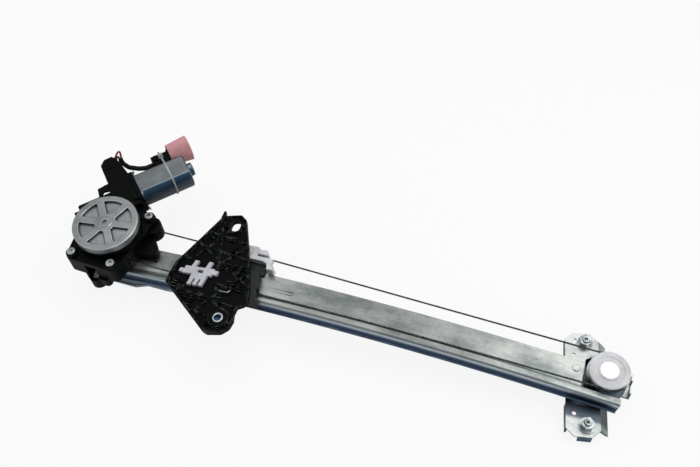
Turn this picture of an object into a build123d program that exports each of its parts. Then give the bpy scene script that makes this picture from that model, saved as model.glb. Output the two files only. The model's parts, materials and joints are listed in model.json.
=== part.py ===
from build123d import *
from math import acos, asin, atan2, cos, degrees, hypot, pi, radians, sin, sqrt, tan
import os

os.makedirs("parts", exist_ok=True)

# Window regulator, millimetres. Drawn from the drum axis, X along the rail to the pulley,
# Y towards the motor, Z up off the door panel. Saved with the origin in the mount bush.

# Rail arc
axle_span = 492.0  # drum axis to pulley axis
arc_radius = 2037.0  # of the web's outer face
arc_apex_x = axle_span / 2 + 2.0
web_start_z = 29.35  # web at the drum axis
web_apex_z = web_start_z + arc_radius - sqrt(arc_radius**2 - arc_apex_x**2)
arc_centre_z = web_apex_z - arc_radius
arc_axis = Axis((arc_apex_x, 0, arc_centre_z), (0, 1, 0))
slide_gap = 0.3  # between faces that follow the arc

# Rail section
rail_gauge = 1.2
rail_top_y = 5.2
groove_top_y = -14.6
groove_low_y = -19.2
groove_slope = 1.0
groove_depth = 1.1
flange_y = -26.0
flange_bend = 2.6
flange_depth = 14.0
bead_r = 1.3
hem_r = 1.7
rail_start_x = -34.0
rail_end_x = axle_span + 15.0
web_end_x = axle_span - 21.0
apron_start_x = 0.0
apron_end_x = 112.0
apron_low_z = 6.6
apron_step_x = 28.0  # the lower edge rises in a step here
apron_step_end_x = 45.0
apron_step_z = 17.0
apron_knee_x = 66.0

# Cable
cable_r = 0.9
cable_h = 0.6  # cable centre above the web where it lies in the groove
drum_r = 20.0  # cable centre on the drum
pulley_r = 16.8  # cable centre on the pulley
low_groove_z = 43.9
groove_pitch = 2.2
high_groove_z = low_groove_z + 2 * groove_pitch
pulley_groove_z = 35.6
run_start_x = 9.0  # the straight runs begin clear of the drum

# Motor frame: the worm axis runs beside the wheel at this angle
motor_angle = 46.0
worm_z = 57.5
module = 0.9
wheel_teeth = 61
lead = pi * module
wheel_pitch_r = module * wheel_teeth / 2
centre_distance = 32.0
worm_pitch_r = centre_distance - wheel_pitch_r
backlash = 0.34
flank = tan(radians(20))

# Motor can and armature
can_r = 16.8
can_flat = 12.2  # half height over the flats
can_gauge = 1.5
can_start_a = 45.0
can_end_a = 97.5
shaft_r = 2.5
running_gap = 0.06

# Gear housing levels
cover_r = 32.5
cover_gauge = 1.0
cover_top_z = 72.2
cover_skirt_z = 64.8
floor_z = 51.5
screw_r = 41.0
screw_angles = (-124.0, -60.0, 38.5)
wheel_low_z = 53.6
wheel_top_z = 61.4
output_r = 4.9

# Drum housing levels
housing_low_z = 36.0
drum_low_z = 40.6
drum_flange_r = 22.5
drum_room_r = drum_flange_r + 1.5
drum_wall = 4.0
drum_top_z = 50.9

# Pulley bracket
bracket_x = axle_span - 15.6
bracket_y = -5.4
bracket_turn = 10.4
lug_z = 12.5
lug_half = 40.7  # centre to stud
bracket_gauge = 1.6

# Mount bush in the lower ear of the drum housing
bush_spot = (-2.0, -37.5)
bush_r = 4.2
bush_bore_r = 3.2
bush_low_z = 19.0
bush_top_z = 33.6
row_origin = Vector(bush_spot[0], bush_spot[1], bush_low_z)

# Carrier frame
carrier_x = 122.0
plate_h = 10.5
plate_t = 2.0
rib_top_h = 15.5

motor_u = Vector(cos(radians(motor_angle)), sin(radians(motor_angle)), 0)
motor_v = Vector(-motor_u.Y, motor_u.X, 0)


def web_z(x):
    return arc_centre_z + sqrt(arc_radius**2 - (x - arc_apex_x) ** 2)


def arc_angle(x):
    return degrees(asin((x - arc_apex_x) / arc_radius))


def arc_plane(x):
    """Section plane across the arc at x: local x is Y, local y is the radius."""
    a = radians(arc_angle(x))
    return Plane(origin=(arc_apex_x, 0, arc_centre_z), x_dir=(0, 1, 0), z_dir=(cos(a), 0, -sin(a)))


def motor_plan(z):
    """Plan plane of the motor: local x along the armature, local y away from the wheel."""
    return Plane(origin=(0, 0, z), x_dir=motor_u, z_dir=(0, 0, 1))


def motor_cross(a):
    """Plane across the armature at a: local x away from the wheel, local y up."""
    origin = motor_u * a + motor_v * centre_distance + Vector(0, 0, worm_z)
    return Plane(origin=origin, x_dir=motor_v, z_dir=motor_u)


def motor_point(a, p, z):
    return motor_u * a + motor_v * p + Vector(0, 0, z)


def carrier_plane(h):
    """Plane along the rail at the carrier, h above the web: local x along the rail."""
    a = radians(arc_angle(carrier_x))
    normal = Vector(sin(a), 0, cos(a))
    origin = Vector(carrier_x, 0, web_z(carrier_x)) + normal * h
    return Plane(origin=origin, x_dir=(cos(a), 0, -sin(a)), z_dir=normal)


def polar(r, degree):
    return (r * cos(radians(degree)), r * sin(radians(degree)))


def save(part, label):
    placed = part.moved(Location(-row_origin))
    placed.label = label
    export_step(placed, "parts/" + label + ".step")


# Rivets through the rail web
rivet_r = 2.0
rivet_spots = [(-22.0, -6.0), (16.0, -6.0)]
bracket_rivet_x = axle_span - 28.0
bracket_rivet_y = -3.0

# Pressed bead of the web
bead_x = 180.0
bead_length = 36.0
bead_depth = 0.3

# Guide rail
with BuildPart() as guide_rail:
    with BuildSketch(arc_plane(rail_start_x)):
        with BuildLine():
            FilletPolyline(
                (rail_top_y, arc_radius),
                (groove_top_y, arc_radius),
                (groove_top_y - groove_slope, arc_radius - groove_depth),
                (groove_low_y + groove_slope, arc_radius - groove_depth),
                (groove_low_y, arc_radius),
                (flange_y, arc_radius),
                (flange_y, arc_radius - flange_depth),
                radius=[0.4, 0.4, 0.4, 0.4, flange_bend],
            )
            offset(amount=rail_gauge, side=Side.LEFT)
        make_face()
        with Locations((flange_y, arc_radius - flange_depth)):
            Circle(bead_r)
    revolve(axis=arc_axis, revolution_arc=arc_angle(rail_end_x) - arc_angle(rail_start_x))
    # the web stops short of the pulley, the strip beyond the groove runs on
    notch_w = rail_top_y - groove_low_y
    with BuildSketch(Plane.XY.offset(web_z(web_end_x) - 12)):
        with Locations((web_end_x + 30, rail_top_y + 1 - (notch_w + 1) / 2)):
            Rectangle(60, notch_w + 1)
    extrude(amount=20, mode=Mode.SUBTRACT)
    # deeper apron near the drum, with a beaded lower edge
    with BuildSketch(Plane.XZ.offset(-flange_y)):
        with BuildLine():
            Polyline(
                (apron_start_x, web_z(apron_start_x) - flange_bend - 2),
                (apron_end_x, web_z(apron_end_x) - flange_bend - 2),
                (apron_end_x, web_z(apron_end_x) - flange_depth),
                (apron_knee_x, apron_step_z),
                (apron_step_end_x, apron_step_z),
                (apron_step_x, apron_low_z),
                (apron_start_x + 4, apron_low_z),
                (apron_start_x, apron_low_z + 3),
                close=True,
            )
        make_face()
    extrude(amount=-rail_gauge)
    with BuildLine() as hem:
        Polyline(
            (apron_start_x + 4, flange_y, apron_low_z),
            (apron_step_x, flange_y, apron_low_z),
            (apron_step_end_x, flange_y, apron_step_z),
            (apron_knee_x, flange_y, apron_step_z),
            (apron_end_x, flange_y, web_z(apron_end_x) - flange_depth),
        )
    with BuildSketch(Plane(origin=hem.line @ 0, z_dir=hem.line % 0)):
        Circle(hem_r)
    sweep(transition=Transition.ROUND)
    # locating holes and the rivet holes of the drum housing
    hole_spots = [
        (49.5, -8.3, 1.6),
        (300.0, -4.6, 2.0),
        (axle_span - 62.0, -5.0, 2.0),
        (bracket_rivet_x, bracket_rivet_y, rivet_r + 0.2),
    ]
    for x, y, r in hole_spots:
        with BuildSketch(Plane.XY.offset(web_apex_z + 1)):
            with Locations((x, y)):
                Circle(r)
        extrude(amount=web_z(x) - web_apex_z - 5, mode=Mode.SUBTRACT)
    for x, y in rivet_spots:
        with BuildSketch(Plane.XY.offset(web_apex_z + 1)):
            with Locations((x, y)):
                Circle(rivet_r + 0.2)
        extrude(amount=web_z(x) - web_apex_z - 5, mode=Mode.SUBTRACT)
    # long shallow bead pressed in the web beside the carrier
    with BuildSketch(Plane.XY.offset(web_z(bead_x) - bead_depth)):
        with Locations((bead_x, -10.4)):
            SlotOverall(bead_length, 4.2, rotation=1.4)
            SlotOverall(bead_length - 2.4, 1.8, rotation=1.4, mode=Mode.SUBTRACT)
    extrude(amount=4, mode=Mode.SUBTRACT)
save(guide_rail.part, "guide_rail")

# Pulley bracket: one pressing with a bridge under the rail end, two lugs and the cup under the pulley
bracket_frame = Plane(
    origin=(bracket_x, bracket_y, lug_z),
    x_dir=(cos(radians(bracket_turn)), sin(radians(bracket_turn)), 0),
    z_dir=(0, 0, 1),
)
pulley_spot = bracket_frame.to_local_coords(Vector(axle_span, 0, lug_z))
cup_r = 18.9
pulley_low_z = 30.0
cup_floor_z = 29.7
cup_rim_z = 33.0
hub_r = 8.2  # white hub of the pulley, which turns in the steel collar
bore_r = 7.2
collar_r = 9.6
collar_top_z = 34.0
lug_w = 30.0
lug_off = -3.0
lug_end = 51.0
fold_drop = 11.0
fold_out = 8.5
keeper_x = axle_span + 22.4
stud_r = 3.0
bridge_x = axle_span - 27.0
bridge_w = 12.0
bridge_top_y = 9.0
bridge_low_y = -13.2
under_web = arc_radius - rail_gauge - 0.05
with BuildPart() as end_bracket:
    with BuildSketch(bracket_frame.offset(-bracket_gauge)):
        with Locations((lug_off, 0)):
            Rectangle(lug_w, 2 * lug_end)
        chamfer(vertices().group_by(Axis.Y)[-1], 7)
        chamfer(vertices().group_by(Axis.Y)[0], 7)
        with Locations((pulley_spot.X, pulley_spot.Y)):
            Circle(cup_r)
    extrude(amount=bracket_gauge)
    # folded edges of the lugs
    for side in (-1, 1):
        with BuildSketch(bracket_frame.offset(-fold_drop)):
            with Locations((lug_off - lug_w / 2 + bracket_gauge / 2, side * 32)):
                Rectangle(bracket_gauge, 24)
            with Locations((lug_off + 2, side * (lug_end - bracket_gauge / 2))):
                Rectangle(12, bracket_gauge)
        extrude(amount=fold_drop)
        fold_start = bracket_frame.from_local_coords(Vector(lug_off + lug_w / 2, side * 32 + 12, 0))
        with BuildSketch(Plane(origin=fold_start, x_dir=bracket_frame.x_dir, z_dir=-bracket_frame.y_dir)):
            with BuildLine():
                Polyline(
                    (-1.5, 0),
                    (0.4, 0),
                    (fold_out, -fold_drop),
                    (fold_out - 2.0, -fold_drop),
                    (-1.5, -bracket_gauge),
                    close=True,
                )
            make_face()
        extrude(amount=24)
    # bridge up to the underside of the rail web, where the bracket is riveted
    with BuildSketch(Plane.XY.offset(lug_z - 0.5)):
        with Locations((bridge_x, (bridge_top_y + bridge_low_y) / 2)):
            Rectangle(bridge_w, bridge_top_y - bridge_low_y)
        with Locations((bridge_x, (bridge_top_y + bridge_low_y) / 2)):
            Rectangle(bridge_w + 1, bridge_top_y - bridge_low_y - 2 * bracket_gauge, mode=Mode.SUBTRACT)
    extrude(amount=26.0)
    with BuildSketch(arc_plane(bridge_x - bridge_w / 2)):
        with Locations(((bridge_top_y + bridge_low_y) / 2, under_web - bracket_gauge / 2)):
            Rectangle(bridge_top_y - bridge_low_y, bracket_gauge)
    bridge_arc = arc_angle(bridge_x + bridge_w / 2) - arc_angle(bridge_x - bridge_w / 2)
    revolve(axis=arc_axis, revolution_arc=bridge_arc)
    with BuildSketch(arc_plane(bridge_x - bridge_w)):
        with Locations((-8, under_web + 15)):
            Rectangle(60, 30)
    revolve(axis=arc_axis, revolution_arc=2 * bridge_arc, mode=Mode.SUBTRACT)
    # side wall between the bridge and the cup
    with BuildSketch(Plane.XY.offset(lug_z - bracket_gauge)):
        with Locations((axle_span - 17.8, 12.9)):
            Rectangle(15.0, bracket_gauge, rotation=36)
    extrude(amount=pulley_low_z + 1 - lug_z)
    # tongue past the cup with two tabs that keep the cable on the pulley
    with BuildSketch(Plane.XY.offset(lug_z - bracket_gauge)):
        with Locations((keeper_x - 7, 1.0)):
            Rectangle(16, 20)
    extrude(amount=bracket_gauge)
    with BuildSketch(Plane.XY.offset(lug_z - bracket_gauge)):
        with Locations((keeper_x + 1.0 - bracket_gauge / 2, 7.5)):
            Rectangle(bracket_gauge, 6.5)
        with Locations((keeper_x + 1.0 - bracket_gauge / 2, -4.5)):
            Rectangle(bracket_gauge, 8.0)
    extrude(amount=11.0)
    # drawn cup and collar that the pulley turns on
    with BuildSketch(Plane.XY.offset(lug_z - bracket_gauge)):
        with Locations((axle_span, 0)):
            Circle(cup_r)
    extrude(amount=cup_rim_z - lug_z + bracket_gauge)
    with BuildSketch(Plane.XY.offset(lug_z - bracket_gauge)):
        with Locations((axle_span, 0)):
            Circle(cup_r - bracket_gauge)
    extrude(amount=cup_floor_z - lug_z, mode=Mode.SUBTRACT)
    with BuildSketch(Plane.XY.offset(cup_floor_z)):
        with Locations((axle_span, 0)):
            Circle(cup_r - bracket_gauge)
    extrude(amount=20, mode=Mode.SUBTRACT)
    with BuildSketch(Plane.XY.offset(lug_z - bracket_gauge)):
        with Locations((axle_span, 0)):
            Circle(collar_r)
    extrude(amount=collar_top_z - lug_z + bracket_gauge)
    with BuildSketch(Plane.XY.offset(lug_z - bracket_gauge - 1)):
        with Locations((axle_span, 0)):
            Circle(hub_r + running_gap)
    extrude(amount=40, mode=Mode.SUBTRACT)
    # stud holes, gauge holes and the slot beside the upper stud
    with BuildSketch(bracket_frame.offset(1)):
        with Locations((0, lug_half), (0, -lug_half)):
            Circle(stud_r + 0.2)
        with Locations((-10.5, 28.0), (-10.5, -29.5)):
            Circle(2.0)
        with Locations((-9.5, lug_half + 1)):
            SlotOverall(7.0, 2.6, rotation=70)
    extrude(amount=-bracket_gauge - 2, mode=Mode.SUBTRACT)
    with BuildSketch(Plane.XY.offset(lug_z + 8)):
        with Locations((bracket_rivet_x, bracket_rivet_y)):
            Circle(rivet_r + 0.1)
    extrude(amount=20, mode=Mode.SUBTRACT)
save(end_bracket.part, "end_bracket")

# Adjusting studs with a hexagon socket in the upper end
stud_low_z = 0.0
stud_top_z = lug_z + 9.0
with BuildPart() as adjusting_studs:
    for side in (-1, 1):
        with BuildSketch(bracket_frame.offset(stud_low_z - lug_z)):
            with Locations((0, side * lug_half)):
                Circle(stud_r)
        extrude(amount=stud_top_z - stud_low_z)
    chamfer(edges().group_by(Axis.Z)[0], 0.6)
    # thread relief under the bracket
    with BuildSketch(bracket_frame.offset(-bracket_gauge - 1.4)):
        with Locations((0, lug_half), (0, -lug_half)):
            Circle(stud_r + 1)
            Circle(stud_r - 0.4, mode=Mode.SUBTRACT)
    extrude(amount=1.0, mode=Mode.SUBTRACT)
    for side in (-1, 1):
        with BuildSketch(bracket_frame.offset(stud_top_z - lug_z)):
            with Locations((0, side * lug_half)):
                RegularPolygon(2.0, 6)
        extrude(amount=-3.5, mode=Mode.SUBTRACT)
save(adjusting_studs.part, "adjusting_studs")

# Flanged nuts on the studs
nut_flats_r = 6.0
with BuildPart() as stud_nuts:
    for side, turn in ((-1, 12), (1, 35)):
        with BuildSketch(bracket_frame):
            with Locations((0, side * lug_half)):
                Circle(7.2)
        extrude(amount=1.4)
        with BuildSketch(bracket_frame.offset(1.4)):
            with Locations((0, side * lug_half)):
                RegularPolygon(nut_flats_r, 6, rotation=turn)
        extrude(amount=6.2)
        with BuildSketch(bracket_frame):
            with Locations((0, side * lug_half)):
                Circle(stud_r + 0.05)
        extrude(amount=12, mode=Mode.SUBTRACT)
    chamfer(edges().filter_by(GeomType.CIRCLE).group_by(Axis.Z)[-1], 0.5)
save(stud_nuts.part, "stud_nuts")

# Return pulley with a cable groove, a stepped face and a long hub that turns in the collar
pulley_rim = 18.3
pulley_top_z = 39.6
groove_floor = pulley_r - cable_r - 0.3
with BuildPart() as return_pulley:
    with BuildSketch(Plane.XZ):
        with BuildLine():
            Polyline(
                (axle_span + bore_r, lug_z),
                (axle_span + hub_r, lug_z),
                (axle_span + hub_r, collar_top_z + 0.3),
                (axle_span + collar_r + 0.3, collar_top_z + 0.3),
                (axle_span + collar_r + 0.3, pulley_low_z),
                (axle_span + cup_r - bracket_gauge - 0.4, pulley_low_z),
                (axle_span + cup_r - bracket_gauge - 0.4, pulley_groove_z - 2.9),
                (axle_span + groove_floor, pulley_groove_z - 2.1),
                (axle_span + groove_floor, pulley_groove_z + 2.1),
                (axle_span + pulley_rim, pulley_groove_z + 2.9),
                (axle_span + pulley_rim, pulley_top_z - 0.8),
                (axle_span + pulley_rim - 0.8, pulley_top_z),
                (axle_span + 13.4, pulley_top_z),
                (axle_span + 12.8, pulley_top_z - 0.7),
                (axle_span + 10.0, pulley_top_z - 0.7),
                (axle_span + 9.6, pulley_top_z),
                (axle_span + bore_r, pulley_top_z),
                close=True,
            )
        make_face()
    revolve(axis=Axis((axle_span, 0, 0), (0, 0, 1)))
save(return_pulley.part, "return_pulley")


# Drum housing: floor, round wall, lobes for the screws and for the cable exits
rail_room = arc_radius + slide_gap
lobe_high = (34.8, 21.3)  # above the left cable run
lobe_low = (44.0, -1.9)
return_boss = (21.5, -17.2)
with BuildPart() as drum_housing:
    with BuildSketch(Plane.XY.offset(housing_low_z)):
        Circle(drum_room_r + drum_wall)
        with Locations(*[polar(screw_r, a) for a in screw_angles]):
            Circle(6.2)
        make_hull()
    extrude(amount=floor_z - housing_low_z)
    with BuildSketch(Plane.XY.offset(housing_low_z)):
        with Locations(lobe_high):
            Circle(9.75)
        with Locations((20.0, 10.0)):
            Circle(10)
        make_hull()
    extrude(amount=floor_z - housing_low_z)
    with BuildSketch(Plane.XY.offset(housing_low_z)):
        with Locations(lobe_low):
            Circle(6.5)
        with Locations((38.0, 8.0)):
            Circle(5)
        with Locations((22.0, 0)):
            Circle(10)
        make_hull()
    extrude(amount=8.6)
    # round boss round the way of the return cable
    with BuildSketch(Plane.XY.offset(29.0)):
        with Locations(return_boss):
            Circle(8.3)
    extrude(amount=floor_z - 29.0)
    # feet on the rail web
    with BuildSketch(Plane.XY.offset(20)):
        with Locations(*rivet_spots):
            Circle(6.5)
        with Locations((-2, -10)):
            Rectangle(30, 5)
    extrude(amount=housing_low_z - 20)
    with BuildSketch(arc_plane(-45)):
        with Locations((-10, rail_room - 15)):
            Rectangle(60, 30)
    revolve(axis=arc_axis, revolution_arc=arc_angle(60) - arc_angle(-45), mode=Mode.SUBTRACT)
    # ear with the mount bush
    with BuildSketch(Plane.XY.offset(bush_low_z + 1)):
        with Locations(bush_spot):
            Circle(8.0)
    extrude(amount=bush_top_z - bush_low_z - 1.6)
    with BuildSketch(Plane.XY.offset(bush_top_z - 6.6)):
        with Locations(bush_spot, polar(screw_r, -75), polar(screw_r - 3, -104)):
            Circle(4.5)
        make_hull()
    extrude(amount=housing_low_z - bush_top_z + 7.6)
    with BuildSketch(Plane.XY.offset(bush_top_z - 0.6)):
        with Locations(bush_spot):
            Circle(7.0)
    extrude(amount=30, mode=Mode.SUBTRACT)
    with BuildSketch(Plane.XY.offset(bush_low_z)):
        with Locations(bush_spot):
            Circle(bush_r)
    extrude(amount=60, mode=Mode.SUBTRACT)
    # drum room, pivot bore, cable ways
    with BuildSketch(Plane.XY.offset(housing_low_z + 2.5)):
        Circle(drum_room_r)
    extrude(amount=30, mode=Mode.SUBTRACT)
    with BuildSketch(Plane.XY.offset(housing_low_z - 12)):
        Circle(3.0 + running_gap)
    extrude(amount=30, mode=Mode.SUBTRACT)
    with BuildSketch(Plane.XY.offset(low_groove_z)):
        with Locations((34, drum_r)):
            Rectangle(48, 4.4)
    extrude(amount=4.4, mode=Mode.SUBTRACT)
    with BuildSketch(Plane.XY.offset(low_groove_z - 2.2)):
        with Locations((34, -drum_r)):
            Rectangle(60, 4.8)
    extrude(amount=4.6, mode=Mode.SUBTRACT)
    # screw holes and rivet seats
    with BuildSketch(Plane.XY.offset(housing_low_z)):
        with Locations(*[polar(screw_r, a) for a in screw_angles]):
            Circle(2.1)
    extrude(amount=30, mode=Mode.SUBTRACT)
    with BuildSketch(Plane.XY.offset(20)):
        with Locations(*rivet_spots):
            Circle(rivet_r + 0.05)
    extrude(amount=30, mode=Mode.SUBTRACT)
save(drum_housing.part, "drum_housing")

# Steel rivet that holds the bracket's bridge on the web
with BuildPart() as bracket_rivet:
    with BuildSketch(Plane.XY.offset(web_z(bracket_rivet_x) - 5)):
        with Locations((bracket_rivet_x, bracket_rivet_y)):
            Circle(rivet_r)
    extrude(amount=5.4)
    with BuildSketch(Plane.XY.offset(web_z(bracket_rivet_x) + 0.35)):
        with Locations((bracket_rivet_x, bracket_rivet_y)):
            Circle(3.4)
    extrude(amount=1.0)
    fillet(edges().group_by(Axis.Z)[-1], 0.6)
save(bracket_rivet.part, "bracket_rivet")

# Rivets of the drum housing
with BuildPart() as housing_rivets:
    for x, y in rivet_spots:
        with BuildSketch(Plane.XY.offset(web_z(x) - 3.2)):
            with Locations((x, y)):
                Circle(rivet_r)
        extrude(amount=housing_low_z + 2.5 - web_z(x) + 3.2)
        with BuildSketch(Plane.XY.offset(web_z(x) - 3.4)):
            with Locations((x, y)):
                Circle(3.2)
        extrude(amount=1.1)
save(housing_rivets.part, "housing_rivets")

# Steel bush in the lower ear
with BuildPart() as mount_bush:
    with BuildSketch(Plane.XY.offset(bush_low_z)):
        with Locations(bush_spot):
            Circle(bush_r - 0.05)
            Circle(bush_bore_r, mode=Mode.SUBTRACT)
    extrude(amount=bush_top_z - bush_low_z)
    chamfer(edges().group_by(Axis.Z)[-1], 0.4)
save(mount_bush.part, "mount_bush")

# Cable drum: three grooves between two flanges, square bore for the output shaft
drum_floor_r = drum_r - cable_r - 0.3
output_square = 7.6
with BuildPart() as cable_drum:
    with BuildSketch(Plane.XZ):
        with BuildLine():
            Polyline(
                (0, drum_low_z),
                (drum_flange_r, drum_low_z),
                (drum_flange_r, low_groove_z - 1.9),
                (drum_floor_r, low_groove_z - 0.9),
                (drum_floor_r, low_groove_z + 0.6),
                (drum_floor_r + 1.3, low_groove_z + groove_pitch / 2),
                (drum_floor_r, low_groove_z + groove_pitch - 0.6),
                (drum_floor_r, low_groove_z + groove_pitch + 0.6),
                (drum_floor_r + 1.3, low_groove_z + 1.5 * groove_pitch),
                (drum_floor_r, high_groove_z - 0.6),
                (drum_floor_r, high_groove_z + 0.9),
                (drum_flange_r, high_groove_z + 1.6),
                (drum_flange_r, drum_top_z),
                (0, drum_top_z),
                close=True,
            )
        make_face()
    revolve(axis=Axis.Z)
    with BuildSketch(Plane.XY.offset(drum_low_z)):
        Rectangle(output_square + 0.2, output_square + 0.2)
    extrude(amount=20, mode=Mode.SUBTRACT)
    # pockets between the spokes
    with BuildSketch(Plane.XY.offset(drum_low_z)):
        with PolarLocations(12.2, 6):
            Circle(3.6)
    extrude(amount=20, mode=Mode.SUBTRACT)
save(cable_drum.part, "cable_drum")

# Cable wound on the drum: one turn in each groove
with BuildPart() as drum_cable_turns:
    for k in range(3):
        with BuildSketch(Plane.XZ):
            with Locations((drum_r, low_groove_z + k * groove_pitch)):
                RegularPolygon(cable_r, 8)
        revolve(axis=Axis.Z)
save(drum_cable_turns.part, "drum_cable_turns")

# Gear housing: base plate with screw ears, wheel room, worm tunnel, flange and connector socket
room_r = 29.2
room_wall_r = 31.2
wheel_floor_z = wheel_low_z - 0.4
tunnel_bore_r = 5.9
tunnel_start_a = -18.0
flange_a = 44.0
ear_top_z = 59.8
ear_plate_z = 60.5  # top of the slotted ear
ear_plate_t = 2.4
ear_slot = (13.0, 44.0)
tunnel_back_p = 39.6
socket_low_z = 50.0
socket_top_z = 64.0
nose_low_z = 51.8  # nose of the motor plug in the socket
nose_high = 9.4
with BuildPart() as gear_housing:
    with BuildSketch(Plane.XY.offset(floor_z)):
        Circle(32.6)
        with Locations(*[polar(screw_r, a) for a in screw_angles]):
            Circle(6.2)
        make_hull()
    extrude(amount=5.0)
    with BuildSketch(Plane.XY.offset(floor_z)):
        Circle(32.6)
    extrude(amount=cover_skirt_z - 0.4 - floor_z)
    with BuildSketch(Plane.XY.offset(floor_z)):
        Circle(room_wall_r)
    extrude(amount=cover_top_z - cover_gauge - floor_z)
    with BuildSketch(Plane.XY.offset(floor_z)):
        with Locations(*[polar(screw_r, a) for a in screw_angles]):
            Circle(5.6)
    extrude(amount=ear_top_z - floor_z)
    # worm tunnel beside the room
    with BuildSketch(motor_plan(floor_z - 1.5)):
        with BuildLine():
            Polyline(
                (tunnel_start_a, 20),
                (tunnel_start_a, 36.4),
                (tunnel_start_a + 2.5, tunnel_back_p),
                (19, tunnel_back_p),
                (21, 43),
                (28, 43),
                (38, 46),
                (flange_a - 3, 48),
                (flange_a - 3, 10),
                (31, 10),
                close=True,
            )
        make_face()
        Circle(cover_r + 0.35, mode=Mode.SUBTRACT)
    extrude(amount=16.0)
    with BuildSketch(motor_plan(floor_z)):
        with Locations((12, (19 + tunnel_back_p) / 2)):
            Rectangle(56, tunnel_back_p - 19)
    extrude(amount=12.6)
    with BuildSketch(motor_plan(ear_plate_z + 0.5)):
        with Locations((0, 48.2)):
            Rectangle(40, 20)
    extrude(amount=10, mode=Mode.SUBTRACT)
    # web between the tunnel and the screw ear
    with BuildSketch(motor_plan(floor_z)):
        with BuildLine():
            Polyline((26, 14), (flange_a - 3, 14), (flange_a - 3, -2), (30, -4), close=True)
        make_face()
    extrude(amount=6.8)
    # thrust cap at the far end of the worm
    with BuildSketch(motor_cross(tunnel_start_a - 6.0)):
        with Locations((1.5, 0)):
            Circle(4.2)
    extrude(amount=8.0)
    # flange for the motor can
    with BuildSketch(motor_cross(flange_a - 3.5)):
        RectangleRounded(41, 27, 7)
    extrude(amount=3.5)
    # connector socket beside the tunnel
    with BuildSketch(motor_plan(socket_low_z)):
        with BuildLine():
            Polyline(
                (18.0, tunnel_back_p - 2),
                (18.0, 57),
                (18.6, 69),
                (38.2, 69),
                (39.8, 60),
                (flange_a - 3, 52),
                (flange_a - 3, tunnel_back_p - 2),
                close=True,
            )
        make_face()
    extrude(amount=socket_top_z - socket_low_z)
    # slotted mount ear at the corner of the tunnel and the socket
    with BuildSketch(motor_plan(ear_plate_z - ear_plate_t)):
        with BuildLine():
            Polyline((3.6, 38.6), (4.9, 45.2), (6.2, 53.6), (15.7, 55.0), (19, 55.0), (19, 38.6), close=True)
        make_face()
        fillet(vertices().sort_by_distance(motor_point(6.2, 53.6, ear_plate_z))[0:1], 2.5)
    extrude(amount=ear_plate_t)
    with BuildSketch(motor_plan(ear_plate_z - ear_plate_t - 1)):
        with Locations(ear_slot):
            SlotOverall(8.0, 5.5, rotation=-20)
    extrude(amount=ear_plate_t + 2, mode=Mode.SUBTRACT)
    # rooms: wheel, worm, brush gear, output bore
    with BuildSketch(Plane.XY.offset(wheel_floor_z)):
        Circle(room_r)
    extrude(amount=30, mode=Mode.SUBTRACT)
    with BuildSketch(motor_cross(-14.5)):
        Circle(tunnel_bore_r)
    extrude(amount=40, mode=Mode.SUBTRACT)
    with BuildSketch(motor_cross(-17)):
        Circle(shaft_r + 0.4)
    extrude(amount=70, mode=Mode.SUBTRACT)
    with BuildSketch(motor_cross(36.0)):
        RectangleRounded(30, 21, 5)
    extrude(amount=20, mode=Mode.SUBTRACT)
    with BuildSketch(Plane.XY.offset(floor_z - 3)):
        Circle(output_r + 1.6)
    extrude(amount=10, mode=Mode.SUBTRACT)
    # socket opening for the plug
    with BuildSketch(motor_plan(nose_low_z - 0.3)):
        with Locations((28.2, 63.5)):
            Rectangle(16.4, 12)
    extrude(amount=nose_high + 0.6, mode=Mode.SUBTRACT)
    # screw holes
    with BuildSketch(Plane.XY.offset(floor_z - 1)):
        with Locations(*[polar(screw_r, a) for a in screw_angles]):
            Circle(2.1)
    extrude(amount=20, mode=Mode.SUBTRACT)
save(gear_housing.part, "gear_housing")

# Pressed gear cover: six sector pockets between spokes, raised hub with a hole
pocket_r0 = 9.5
pocket_r1 = 27.0
pocket_depth = 2.6
pocket_turn = 37.5
spoke_w = 5.4


def pocket(inset, z, height):
    """Sector pocket cutter between two spokes, inset from its edge."""
    half = spoke_w / 2 + inset
    r0 = pocket_r0 + inset
    r1 = pocket_r1 - inset
    with BuildPart() as cutter:
        with BuildSketch(Plane.XY.offset(z)):
            Circle(r1)
            Circle(r0, mode=Mode.SUBTRACT)
            with BuildLine():
                apex = half / sin(radians(30))
                far_x = apex + 2 * r1 * cos(radians(30))
                far_y = 2 * r1 * sin(radians(30))
                Polyline((apex, 0), (far_x, far_y), (far_x, -far_y), close=True)
            make_face(mode=Mode.INTERSECT)
        extrude(amount=height)
    return cutter.part


with BuildPart() as gear_cover:
    with BuildSketch(Plane.XY.offset(cover_skirt_z)):
        Circle(cover_r)
    extrude(amount=cover_top_z - cover_skirt_z)
    fillet(edges().group_by(Axis.Z)[-1], 1.0)
    with BuildSketch(Plane.XY.offset(cover_skirt_z)):
        Circle(cover_r - cover_gauge)
    extrude(amount=cover_top_z - cover_gauge - cover_skirt_z, mode=Mode.SUBTRACT)
    with BuildSketch(Plane.XY.offset(cover_top_z - 0.2)):
        Circle(6.8)
    extrude(amount=1.0, taper=20)
    with PolarLocations(0, 6, start_angle=pocket_turn):
        add(pocket(0, cover_top_z - cover_gauge - pocket_depth, pocket_depth + 0.2))
    with PolarLocations(0, 6, start_angle=pocket_turn):
        add(pocket(0.8, cover_top_z - pocket_depth, pocket_depth + 1), mode=Mode.SUBTRACT)
    with BuildSketch(Plane.XY.offset(cover_top_z - 4)):
        Circle(2.3)
    extrude(amount=8, mode=Mode.SUBTRACT)
save(gear_cover.part, "gear_cover")

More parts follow.
